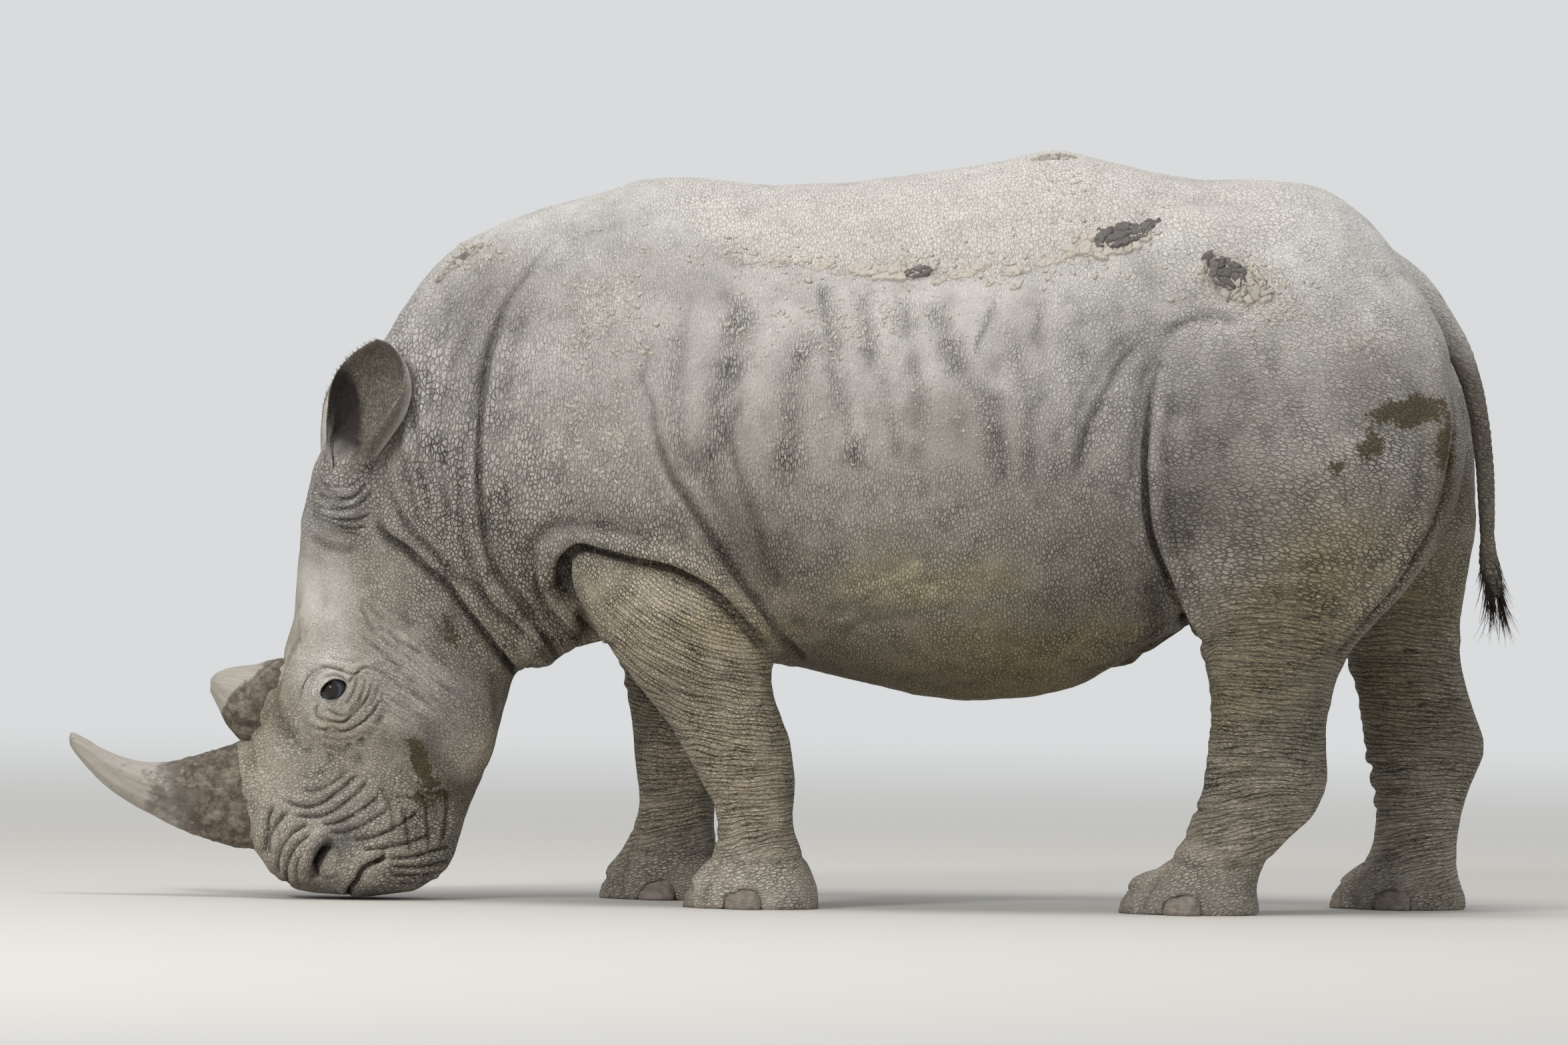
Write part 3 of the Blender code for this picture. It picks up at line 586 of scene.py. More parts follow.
# %% Collars of skin that climb a little way up the horns
COLLAR = 0.0035
collars = []
for name, table, last, roundness in (
    ("front_collar", FRONT_HORN, 0.125, 2.6), ("rear_collar", REAR_HORN, 0.16, 2.4),
):
    collar, _, _ = make_horn(name, table, 0.0, last, 24, 90, roundness, COLLAR)
    face_outward(collar)
    apply_modifier(collar, "REMESH", mode="VOXEL", voxel_size=0.006)
    put_points(collar, relax(points_of(collar), edges_of(collar), [0.6] * 6))
    collars.append(collar)

# %% Weld them to the hide
for grown_on in ears + [tail] + collars:
    apply_modifier(hide, "BOOLEAN", operation="UNION", solver="MANIFOLD", object=grown_on)
print("with ears, tail and collars:", triangles(hide), "triangles")

WELD_REACH = 0.022
points, edges = points_of(hide), edges_of(hide)
at_weld = np.zeros(len(points))
for grown_on in ears + [tail]:
    box = points_of(grown_on)
    root = box[np.argsort(box[:, 2])[:400]] if grown_on != tail else box[np.argsort(-box[:, 2])[:900]]
    low, high = root.min(0) - WELD_REACH, root.max(0) + WELD_REACH
    at_weld[((points > low) & (points < high)).all(1)] = 1.0
x, y, z = points.T
at_collar = smooth_step(x, -1.215, -1.175) * smooth_step(x, -1.075, -1.11) * (z > 0.06) * (z < 0.6)
at_weld = np.maximum(at_weld, at_collar * (np.abs(y) < 0.13))
at_weld = relax(np.stack([at_weld] * 3, 1), edges, [0.7] * 6)[:, 0]
points = relax(points, edges, [0.5 * at_weld] * 14)
put_points(hide, points)
shade_smooth(hide)
for grown_on in ears + [tail] + collars:
    bpy.data.objects.remove(grown_on)


def on_ear(points, reach=0.1):
    """1 on the free part of an ear, falling to 0 at its root."""
    found = np.zeros(len(points))
    for side, ahead in ((1, 0.0), (-1, EAR_RIGHT_AHEAD)):
        base = EAR_BASE * [1, side, 1] + ahead
        tip = EAR_TIP * [1, side, 1] + ahead
        share = ((points - base) @ (tip - base)) / ((tip - base) @ (tip - base))
        nearest = base + np.clip(share, 0, 1)[:, None] * (tip - base)
        near = np.linalg.norm(points - nearest, axis=1) < reach
        found = np.maximum(found, near * smooth_step(share, 0.08, 0.25))
    return found


def on_tail(points):
    """1 on the free part of the tail."""
    x, y, z = points.T
    inner_edge = np.interp(z, [0.66, 0.8, 0.98, 1.1, 1.19, 1.26, 1.31, 1.35],
                           [1.52, 1.508, 1.494, 1.478, 1.45, 1.405, 1.355, 1.3])
    return smooth_step(x - inner_edge, -0.004, 0.004) * (np.abs(y) < 0.07) * smooth_step(z, 1.42, 1.34)


# %% [markdown]
# ## The hide, step 2: folds
# A rhinoceros's hide is thick and stiff, and it bends only along set lines: round the neck,
# over the elbow, in front of the stifle, round the eyes, ears and nostrils. A sculptor would
# draw each line on the clay, press it in with a tool, and push up a lip beside it. Here each
# fold is a short list of places on the left side, as (X, Z), joined by a smooth curve. The
# curve presses in a groove of a given depth and width, raises a lip on one side or both, and
# fades at its ends. The right side gets the same folds. Its legs stand elsewhere, so its
# points are first slid to where they would be on the left.

# %% The right side seen as the left one
RIGHT_FORELEG_AHEAD = -0.155
RIGHT_HINDLEG_AHEAD = 0.3


def as_left(points):
    """(X, Z) of each point; on the right side, where the same place is on the left."""
    x, y, z = points.T
    on_right = smooth_step(y, -0.02, 0.02)
    at_foreleg = smooth_step(z, 0.85, 0.58) * smooth_step(x, 0.35, 0.15) * smooth_step(x, -0.72, -0.6)
    at_hindleg = smooth_step(z, 1.02, 0.6) * smooth_step(x, 0.62, 0.9)
    slid = x - on_right * (
        RIGHT_FORELEG_AHEAD * at_foreleg + RIGHT_HINDLEG_AHEAD * at_hindleg
    )
    return np.stack([slid, z], 1)


# %% A smooth curve through given places
def curve_through(places, step=0.01):
    """Points about a step apart on a smooth curve through the places."""
    p = np.array(places, float)
    p = np.concatenate([[2 * p[0] - p[1]], p, [2 * p[-1] - p[-2]]])
    found = []
    for a, b, c, d in zip(p, p[1:], p[2:], p[3:]):
        count = max(2, int(np.linalg.norm(c - b) / step))
        t = (np.arange(count) / count)[:, None]
        found.append(
            0.5 * (2 * b + (c - a) * t + (2 * a - 5 * b + 4 * c - d) * t**2
                   + (3 * b - a - 3 * c + d) * t**3)
        )
    return np.concatenate(found + [p[-2:-1]])


def beside(flat, curve):
    """For points in the XZ plane: distance to the curve, positive on the left of its run,
    the share of its length passed, and the direction away from it."""
    a, along = curve[:-1], np.diff(curve, axis=0)
    square = (along**2).sum(1)
    off = flat[:, None, :] - a[None]
    t = np.clip((off * along[None]).sum(2) / square[None], 0.0, 1.0)
    off = off - t[:, :, None] * along[None]
    distance = np.sqrt((off**2).sum(2))
    nearest = distance.argmin(1)
    rows = np.arange(len(flat))
    off, t, run = off[rows, nearest], t[rows, nearest], along[nearest]
    side = np.sign(run[:, 0] * off[:, 1] - run[:, 1] * off[:, 0])
    distance = distance[rows, nearest]
    away = off / np.maximum(distance, 1e-6)[:, None]
    return distance * side, (nearest + t) / len(a), away


# %% Press a fold into the hide
def press(shift, crease, flat, points, normals, places, depth, width, left=0.0, right=0.0,
          start=0.18, end=0.18, only=None):
    """Adds a fold to the shift of the points, and its darkness to their crease value."""
    curve = curve_through(places)
    reach = 5.0 * width + 0.01
    near = ((flat > curve.min(0) - reach) & (flat < curve.max(0) + reach)).all(1)
    if only is not None:
        near &= only
    near = np.flatnonzero(near)
    if not len(near):
        return
    distance, share, away = beside(flat[near], curve)
    strength = smooth_step(share, 0.0, start) * smooth_step(share, 1.0, 1.0 - end)
    # Folds of the buttock stay on its side and don't run across the rear
    outward = normals[near, 1] * np.sign(points[near, 1])
    on_rump = smooth_step(flat[near, 0], 1.06, 1.16) * smooth_step(points[near, 2], 0.48, 0.66)
    strength = strength * (1.0 - on_rump * smooth_step(outward, 0.7, 0.35))
    groove = np.exp(-((distance / width) ** 2)) * strength
    height = -depth * groove
    for lip, side in ((left, 1.0), (right, -1.0)):
        if lip:
            over = (distance * side - 2.3 * width) / (1.5 * width)
            raised = lip * np.exp(-(over**2)) * strength
            height += raised
            inner = np.exp(-(((distance * side - 1.6 * width) / width) ** 2))
            lean = raised[:, None] * away * inner[:, None]
            shift[near, 0] -= 0.8 * lean[:, 0]
            shift[near, 2] -= 0.8 * lean[:, 1]
    shift[near] += normals[near] * height[:, None]
    crease[near] = np.maximum(crease[near], groove * min(1.0, depth / 0.008))


def shifted(points, shift):
    """Points after a shift that pushes none through the floor and leaves the soles flat."""
    shift[:, 2] = np.maximum(shift[:, 2], -np.maximum(points[:, 2] - FLOOR_BAND[0], 0.0))
    return points + shift * smooth_step(points[:, 2], *FLOOR_BAND)[:, None]


def soft_normals(obj, edges, passes):
    normals = relax(normals_of(obj), edges, [0.6] * passes)
    return normals / np.maximum(np.linalg.norm(normals, axis=1), 1e-9)[:, None]


# %% The great folds
def fold(text, depth, width, left=0, right=0, start=0.18, end=0.18):
    """Places and sizes of a fold, from millimetres: depth, width and the lips' heights."""
    return path(text), dict(depth=metres(depth), width=metres(width), left=metres(left),
                            right=metres(right), start=start, end=end)


# Places; then depth, width, left lip and right lip in millimetres, and how soon each end fades
GREAT_FOLDS = {
    "neck and shoulder": fold("-460,1520 -550,1430 -630,1320 -660,1240 -680,1150 -690,1030 -690,920 "
        "-680,840 -670,780 -640,710 -590,650 -545,590 -510,530", 16, 10, 6, 12, 0.4, 0.02),
    "jaw and neck": fold("-920,860 -900,810 -850,775 -800,730 -750,690 -720,650 -680,600 -650,560 "
        "-600,500", 22, 11, 12, 4, end=0.02),
    "through the neck lobe": fold("-890,920 -850,830 -790,770 -740,720 -690,690 -660,650 -610,610 "
        "-570,570 -530,530", 12, 9, 6, 5, end=0.02),
    "neck, behind": fold("-640,1310 -670,1240 -685,1180 -700,1100 -720,1020 -730,940 -730,870 -720,790 "
        "-690,710 -640,620", 7, 10, 0, 4),
    "neck, middle": fold("-700,1320 -720,1250 -750,1180 -770,1100 -780,1020 -770,940 -760,860 -740,790",
        5, 11, 0, 3),
    "neck, ahead": fold("-880,1250 -860,1170 -850,1100 -830,1020 -810,940 -780,860", 4, 10, 0, 2),
    "shoulder, ahead": fold("-670,900 -650,790 -610,700 -570,640 -540,600", 7, 9, 0, 3),
    "sleeve over the foreleg": fold("-515,680 -510,720 -505,755 -470,785 -430,780 -350,760 -260,740 "
        "-170,690 -110,630 -30,540", 30, 13, 22, 0, 0.04, 0.1),
    "sleeve, outer": fold("-575,660 -580,730 -570,790 -520,830 -440,835 -360,820 -270,795", 8, 14, 0, 4),
    "pocket before the foreleg": fold("-505,750 -505,710 -490,670 -460,620 -430,560",
        40, 17, 6, 0, 0.05, 0.02),
    "brisket": fold("-565,740 -560,700 -545,660 -520,620 -480,585 -440,560", 14, 11, 6, 4, end=0.02),
    "behind the shoulder": fold("-290,1320 -310,1260 -320,1200 -330,1150 -310,1090 -300,1030 -270,950 "
        "-230,890 -190,830 -150,770 -110,710 -70,660 -20,590 30,540", 14, 12, 6, 6, 0.5, 0.02),
    "further behind the shoulder": fold("-130,1220 -120,1150 -120,1090 -140,1030 -120,950 -80,840 -60,770 "
        "-20,700 20,640", 7, 12, 3, 3, 0.5),
    "before the stifle": fold("815,1265 795,1220 775,1140 768,1070 762,1000 765,930 770,870 785,810 "
        "820,730 860,640 900,580", 20, 10, 14, 6, 0.35, 0.05),
    "flank, first": fold("790,1240 760,1180 750,1110 740,1050 735,990 730,900", 7, 12, 0, 4),
    "flank, second": fold("770,1270 710,1210 680,1150 645,1080 625,1020 610,930", 9, 14, 0, 5),
    "flank, third": fold("730,1280 680,1220 640,1150 610,1090 600,1040", 6, 13, 0, 3),
    "buttock": fold("1360,1390 1395,1330 1420,1250 1435,1180 1442,1110 1437,1040 1427,980 1412,910 "
        "1390,850 1355,790 1320,730 1280,680 1230,620 1180,560", 20, 14, 0, 14, 0.25, 0.04),
    "groin": fold("620,515 680,530 720,550 770,585 830,650", 16, 13, 6, 4),
    "top of the thigh": fold("790,1250 830,1285 900,1305 970,1290", 6, 13, 3, 0),
    "hock, front": fold("900,270 950,300 1000,320 1050,330", 6, 10, 3, 0),
    "above the hind foot": fold("800,135 860,115 930,105 1000,110 1070,130", 4, 10, 2, 0),
    "above the forefoot": fold("-210,120 -150,105 -80,100 -10,105 60,120", 4, 10, 2, 0),
}
crease = np.zeros(len(points))
shift = np.zeros_like(points)
normals = soft_normals(hide, edges, 6)
flat = as_left(points)
free_parts = np.maximum(on_ear(points), on_tail(points))
on_body = free_parts < 0.5
for places, sizes in GREAT_FOLDS.values():
    press(shift, crease, flat, points, normals, places, only=on_body, **sizes)
points = shifted(points, shift)
put_points(hide, points)
print("great folds:", len(GREAT_FOLDS), "deepest:", round(float(np.abs(shift).max()), 3))


# %% [markdown]
# ## The hide, step 3: families of wrinkles
# Between the great folds run families of smaller ones, side by side, each a little different.
# A family is given by its first and its last line. The lines between are blended from those
# two, and a seeded random number trims, shifts and weakens each one.

# %% Wrinkle families
def family(first, last, count, depth, width, trim=0.25, wobble=0.006):
    """Count lines from the first to the last, as places and sizes for press."""
    first, last = np.array(path(first)), np.array(path(last))
    depth, width = metres(depth), metres(width)
    made = []
    for i in range(count):
        share = (i + 0.5 + rng.uniform(-0.3, 0.3)) / count
        line = curve_through(first * (1 - share) + last * share, 0.02)
        line = line + rng.normal(0, wobble, (1, 2)) + np.cumsum(rng.normal(0, 0.0012, line.shape), 0)
        start, end = rng.uniform(0, trim, 2)
        low = int(start * len(line))
        high = max(low + 4, int((1 - end) * len(line)))
        weight = rng.uniform(0.55, 1.15)
        made.append((line[low:high:2] if high - low > 8 else line[low:high], dict(
            depth=depth * weight, width=width * rng.uniform(0.85, 1.2),
            left=depth * 0.35 * weight, right=depth * 0.35 * weight)))
    return made


EYE = (-1.0, 0.46)
EYE_TILT = 28.0  # degrees that the opening of the eye leans back and up
NOSTRIL = (-1.012, 0.092)
# First line, last line, how many, depth and width in millimetres, largest share trimmed off
FAMILIES = [
    # Crescents under the ear, and lines behind it
    ("-1045,940 -1010,905 -970,895 -930,915", "-1070,790 -1030,765 -980,760 -920,765", 8, 7.5, 7.5, 0.15),
    ("-915,970 -905,920 -895,870 -880,830", "-830,1020 -800,950 -770,880 -740,800", 6, 6, 7.5),
    # Brow and cheek: long fine lines that run down and back
    ("-1010,730 -970,680 -900,620 -820,570 -730,510",
     "-930,460 -880,420 -820,390 -760,360 -700,330", 15, 2.2, 4.8, 0.4),
    ("-980,760 -930,700 -900,640 -890,570", "-950,630 -920,600 -905,560 -910,520", 4, 2.6, 5, 0.3),
    # Jaw line, up towards the neck fold
    ("-800,660 -760,600 -710,540 -660,490", "-860,500 -800,440 -740,390 -680,350", 6, 2.2, 6, 0.4),
    # Neck, along its great folds
    ("-950,1120 -910,1050 -875,970 -850,900 -800,830",
     "-730,1220 -740,1100 -750,1000 -740,880 -720,780", 7, 4.2, 9, 0.35),
    ("-860,1290 -790,1330 -720,1380 -630,1430", "-800,1150 -740,1240 -690,1320 -600,1410", 5, 2.2, 10, 0.3),
    # Shoulder and sleeve
    ("-660,980 -640,860 -600,750 -560,680", "-560,900 -575,830 -560,760 -530,690", 4, 4.5, 9, 0.3),
    ("-550,860 -460,880 -360,870 -260,830 -170,760",
     "-500,800 -440,810 -360,795 -270,765 -190,715", 4, 3.5, 9, 0.3),
    ("-450,1350 -470,1200 -460,1060 -420,950", "-200,1380 -230,1220 -220,1080 -160,930", 6, 2.2, 13, 0.3),
    # Foreleg: slanting folds over the muscle
    ("-460,700 -340,670 -220,620 -80,540", "-360,500 -270,470 -170,440 -40,410", 10, 3.8, 8, 0.25),
    # Flank and belly
    ("700,1200 670,1100 660,980 680,840", "520,1150 490,1050 490,940 520,820", 6, 3, 12, 0.35),
    ("20,660 120,720 240,770 360,800", "40,560 180,600 340,630 480,650", 5, 2.8, 13, 0.4),
    ("120,530 300,520 480,530 640,580", "180,475 320,465 460,470 580,500", 4, 3, 12, 0.4),
    # Thigh: bands that grow deeper towards the knee
    ("840,780 950,770 1080,780 1220,820 1340,880",
     "900,580 980,575 1070,580 1150,585 1220,590", 8, 3.2, 11, 0.35),
    ("1300,1220 1340,1100 1340,980 1290,860", "1400,1220 1415,1100 1405,980 1350,840", 4, 3, 10, 0.4),
    # Lower legs: bands all the way round
    ("-240,420 -150,415 -60,410 50,400", "-200,130 -120,120 -50,120 50,130", 14, 3.6, 7, 0.3),
    ("860,570 960,565 1080,560 1220,570", "860,360 960,350 1080,345 1220,360", 9, 3.6, 8, 0.3),
    ("860,340 960,330 1060,330 1200,350", "790,150 880,130 970,125 1080,150", 10, 4, 7.5, 0.3),
]
WRINKLES = [wrinkle for row in FAMILIES for wrinkle in family(*row)]
print("wrinkles:", len(WRINKLES))

shift = np.zeros_like(points)
normals = soft_normals(hide, edges, 4)
flat = as_left(points)
for places, sizes in WRINKLES:
    press(shift, crease, flat, points, normals, places, only=on_body, **sizes)

# %% Ribs, muscles and the unevenness of a thick hide
x, z = flat.T
outward = np.abs(normals[:, 1])
at_ribs = smooth_step(x, -0.02, 0.12) * smooth_step(x, 0.8, 0.62)
at_ribs *= smooth_step(z, 0.88, 1.08) * smooth_step(z, 1.42, 1.28) * outward
RIB_SPACING = 0.094
ribs = 0.0032 * at_ribs * np.sin(2 * math.pi * (x + 0.1 * (z - 1.1)) / RIB_SPACING)


def cloud(points, size, seed, octaves=2):
    """Smooth noise between about -1 and 1 at each point, with lumps of that size in metres."""
    offset = Vector((seed * 7.3, seed * -3.1, seed * 5.7))
    return np.array(
        [noise.fractal(Vector(p) / size + offset, 1.0, 2.0, octaves) for p in points]
    )


lumps = 0.003 * cloud(points, 0.11, 1) + 0.0012 * cloud(points, 0.035, 2)
uneven = (ribs + lumps) * smooth_step(points[:, 2], 0.01, 0.05) * (1.0 - free_parts)
shift += normals * uneven[:, None]
points = shifted(points, shift)
put_points(hide, points)
print("hide:", triangles(hide), "triangles")

# %% [markdown]
# ## The hide, step 4: the face
# The face needs a finer mesh than the flank. The whole hide is thinned first, because flat
# stretches need few faces, and the edges round the eyes and the muzzle are then divided until
# they are short. Every fold of the face is pressed in after that, one by one, because a face
# is known by just these lines.

# %% Thin the hide where it is flat
HIDE_TRIANGLES = 112000


def store(obj, name, values, kind="FLOAT"):
    """Saves one value for each point of the mesh as an attribute."""
    made = obj.data.attributes.get(name) or obj.data.attributes.new(name, kind, "POINT")
    field = {"FLOAT": "value", "FLOAT_VECTOR": "vector", "FLOAT_COLOR": "color"}[kind]
    made.data.foreach_set(field, np.asarray(values, np.float32).ravel())


def stored(obj, name):
    return read(obj.data.attributes[name].data, "value", 1)[:, 0].astype(float)


store(hide, "crease", crease)
apply_modifier(hide, "DECIMATE", ratio=min(1.0, HIDE_TRIANGLES / triangles(hide)))


# %% Divide long edges where detail is needed
def divide(obj, wanted, longest, passes=2):
    """Divides edges longer than this whose two ends are both wanted."""
    for _ in range(passes):
        chosen_points = wanted(points_of(obj))
        shape = bmesh.new()
        shape.from_mesh(obj.data)
        chosen = [e for e in shape.edges if chosen_points[e.verts[0].index]
                  and chosen_points[e.verts[1].index] and e.calc_length() > longest]
        bmesh.ops.subdivide_edges(shape, edges=chosen, cuts=1)
        bmesh.ops.triangulate(shape, faces=[f for f in shape.faces if len(f.verts) > 3])
        shape.to_mesh(obj.data)
        shape.free()


def round_place(centre, radius):
    """A test for points on both sides of the head that lie near a place (X, Z)."""
    def wanted(p):
        off = np.hypot(p[:, 0] - centre[0], p[:, 2] - centre[1])
        return (off < radius) & (np.abs(p[:, 1]) > 0.03)
    return wanted


def along_folds(p):
    """Points within a finger's breadth of a great fold."""
    flat_places, free = as_left(p), np.maximum(on_ear(p), on_tail(p)) > 0.5
    found = np.zeros(len(p), bool)
    for places, sizes in GREAT_FOLDS.values():
        found |= np.abs(beside(flat_places, curve_through(places))[0]) < 0.009
    return found & ~free & (np.abs(p[:, 1]) > 0.05)


divide(hide, along_folds, 0.0085, 1)
for centre, radius, longest in (
    (EYE, 0.125, 0.007), (EYE, 0.09, 0.0044), (EYE, 0.048, 0.0031), ((-0.985, 0.86), 0.085, 0.006),
    ((-0.99, 0.1), 0.185, 0.0085), ((-0.8, 0.15), 0.1, 0.009), (NOSTRIL, 0.07, 0.0048),
    ((-0.93, 0.07), 0.055, 0.0052),
):
    divide(hide, round_place(centre, radius), longest)
print("divided to", triangles(hide), "triangles")

points, edges = points_of(hide), edges_of(hide)
flat = as_left(points)
near_eye = smooth_step(np.hypot(points[:, 0] - EYE[0], points[:, 2] - EYE[1]), 0.13, 0.1)
points = relax(points, edges, [0.5 * near_eye] * 4)
TAIL_ROOT = (1.375, 0.0, 1.41)
near_root = smooth_step(np.linalg.norm(points - TAIL_ROOT, axis=1), 0.17, 0.08)
points = relax(points, edges, [0.6 * near_root] * 34)

# %% The sharp bottom of each great fold
CORE_WIDTH, CORE_SHARE = 0.0042, 0.32  # its width, and its share of the fold's depth
shift, crease = np.zeros_like(points), stored(hide, "crease")
fold_bottom_shade = np.zeros(len(points))
normals = soft_normals(hide, edges, 3)
on_body = np.maximum(on_ear(points), on_tail(points)) < 0.5
for places, sizes in GREAT_FOLDS.values():
    press(shift, fold_bottom_shade, flat, points, normals, places, CORE_SHARE * sizes["depth"], CORE_WIDTH,
          start=sizes["start"], end=sizes["end"], only=on_body)
points += shift
put_points(hide, points)

# %% Folds of the face
# Depth and width in millimetres, then the places
FACE_FOLDS = [
    # brow crease over the eye, and the crease of the upper lid
    (5.5, 4, "-1078,423 -1077,458 -1068,482 -1053,499 -1035,508 -1015,510 -991,505 -976,500"),
    (3.5, 3, "-1064,426 -1066,452 -1060,478 -1045,497 -1026,502"),
    (3.5, 3, "-1051,437 -1053,464 -1040,488 -1020,497"),
    (5, 3.2, "-1036,462 -1026,484 -1006,494 -985,490 -970,478"),
    # trough from the front corner, under the lower lid and up behind
    (6, 3.6, "-1030,432 -1041,418 -1041,403 -1021,394 -997,390 -977,392 -962,408 -945,432 -939,458"),
    (4.5, 3, "-1020,420 -1003,412 -985,405 -967,410 -960,428"),
    (5, 3.6, "-1079,403 -1056,382 -1027,373 -1003,379 -980,370 -950,385 -924,403 -909,423 -903.5,446"),
    (5, 4, "-1082,385 -1056,362 -1029,344 -1003,335 -977,341 -950,347 -921,370 -903.5,388 -893,414"),
    (3.8, 3.4, "-1060,352 -1030,327 -998,318 -965,322 -930,340"),
    # rings before and under the eye
    (5, 3.4, "-1077,430 -1074,454 -1070,479 -1056,499 -1030,512 -998,510 -963,497 -929,510"),
    (4, 3, "-1055,437 -1060,464 -1050,486 -1029,500 -1002,503"),
    (4.2, 3, "-1045,423 -1035,408 -1011,396 -977,393 -951,412 -933,437 -921,461"),
    (4.8, 3.4, "-1079,401 -1045,382 -1006,368 -962,377 -927,402 -903,436 -892,467"),
    (4.2, 3.4, "-1035,364 -996,352 -952,359 -913,388 -884,423"),
    # fan behind the rear corner
    (5, 3.4, "-972,474 -958,492 -943,508 -928,514"),
    (4.2, 3, "-950,494 -956,464 -965,444 -977,429"),
    (4.2, 3.2, "-933,491 -936,464 -950,435 -965,414"),
    (3.8, 3.2, "-918,480 -924,455 -939,429 -956,406"),
    (3, 3.2, "-903,478 -908,452 -922,425"),
    (2.8, 3, "-965,505 -940,512 -912,508 -890,495"),
    # gathers under the ear
    (5, 3.8, "-1052,894 -1013,880 -969,883 -945,903 -933,930"),
    (6, 3.8, "-1056,870 -1022,858 -973,861 -942,876 -920,901"),
    (6, 3.8, "-1054,855 -1032,842 -993,834 -953,837 -919,852"),
    (5.5, 3.8, "-1034,837 -1007,824 -968,815 -929,822"),
    (4, 3.6, "-1017,818 -982,805 -938,803"),
    (4, 3.6, "-1040,914 -1003,906 -964,912 -943,932"),
    # long creases from the brow down the cheek
    (3.4, 3.4, "-966,683 -941,637 -918,579 -888,525 -846,482 -806,433"),
    (3, 3.4, "-911,637 -872,579 -832,526 -782,483 -714,447 -654,421"),
    (2.6, 3.4, "-928,613 -901,559 -861,511 -816,472 -762,434"),
    (2.6, 3.4, "-863,638 -823,590 -783,541 -734,503 -685,484"),
    # deep fold behind the front horn, and the ones that follow it round the muzzle
    (13, 6, "-1131,222 -1137,200 -1144,175 -1146,150 -1151,122 -1155,92"),
    (8, 5, "-1096,196 -1116,176 -1130,155 -1139,125 -1137,92"),
    (9, 5.5, "-1050,168 -1075,156 -1096,140 -1113,112 -1122,80 -1119,45"),
    (10, 6, "-1040,146 -1064,134 -1085,113 -1099,86 -1103,55 -1098,22"),
    (6, 4.5, "-1066,100 -1076,78 -1078,50 -1070,22"),
    # leaning folds between the nostril and the cheek
    (8, 5.2, "-1113,222 -1080,206 -1045,205 -1010,222 -975,250 -945,285"),
    (7.5, 5, "-1090,186 -1055,182 -1020,186 -985,205 -950,235 -920,270"),
    (7.5, 5, "-1030,168 -998,168 -965,182 -930,205 -895,235"),
    (7, 4.8, "-1012,150 -980,149 -945,160 -910,180 -875,205"),
    (6, 4.5, "-1075,240 -1035,240 -995,262 -960,292 -935,325"),
    (4.5, 4.2, "-1100,262 -1060,270 -1015,285 -975,312"),
    (3.5, 4.2, "-1095,300 -1050,305 -1005,320 -960,345 -915,362"),
    # lip, mouth corner and chin: short rows of folds that fan back
    (8, 5.2, "-965,132 -930,136 -890,148 -850,168 -810,200"),
    (8.5, 5, "-940,112 -900,114 -860,122 -820,132 -775,152"),
    (8.5, 5, "-880,94 -845,94 -810,100 -770,112 -740,118"),
    (8, 4.8, "-878,76 -840,74 -800,76 -760,84 -738,88"),
    (7, 4.8, "-872,58 -835,55 -795,56 -755,64"),
    (5.5, 4.5, "-860,40 -825,36 -790,38 -765,44"),
    (7, 5, "-850,205 -840,170 -835,135 -830,105"),
    (7, 5, "-805,235 -795,195 -792,155 -790,115"),
    (6.5, 5, "-762,250 -752,205 -756,160 -760,125"),
    (5, 5, "-900,255 -880,215 -870,180 -866,150"),
    (4.5, 5, "-860,300 -835,265 -815,235 -770,215"),
]
shift, crease = np.zeros_like(points), stored(hide, "crease")
normals = soft_normals(hide, edges, 3)
for depth, width, places in FACE_FOLDS:
    depth, lip = metres(depth), 0.3 * metres(depth)
    press(shift, crease, flat, points, normals, path(places), depth=depth, width=metres(width),
          left=lip, right=lip, start=0.12, end=0.12)
FINE_FACE = []
for row in (
    ("-1060,600 -1030,560 -970,540 -910,550", "-1050,520 -1010,525 -960,520 -900,520", 4, 1.6, 3.5, 0.4),
    ("-1000,150 -975,128 -962,100 -962,70", "-985,140 -968,120 -950,95 -950,70", 2, 3.5, 3.5, 0.2),
    ("-1100,200 -1060,225 -1020,235 -960,300", "-940,100 -900,130 -860,145 -800,220", 9, 2.6, 3.6, 0.5),
    ("-1130,190 -1120,130 -1110,70", "-1080,160 -1080,100 -1060,30", 4, 2.8, 3.6, 0.4),
):
    FINE_FACE += family(*row)
for places, sizes in FINE_FACE:
    press(shift, crease, flat, points, normals, places, **sizes)
face_fold_shade = np.maximum(crease - stored(hide, "crease"), 0.0)
points += shift
put_points(hide, points)
print("face folds:", len(FACE_FOLDS) + len(FINE_FACE))

# %% Eyelids
# The lids ride on the eyeball. Outside the opening the skin lies a few millimetres over the
# ball, and inside it drops behind the ball. The opening is an almond that leans back and up.
BALL_RADIUS = 0.0305
BALL_IN = 0.005  # the finished ball lies this far behind the middle of the plain one
OPENING = (0.0285, 0.0195)  # half length and half height of the almond
LID = 0.0036  # thickness of the lids over the eyeball
MOUND = (0.006, 0.04)  # height and reach of the swelling round the eye
ALMOND = 1.75  # 2 is an ellipse, 1 a diamond

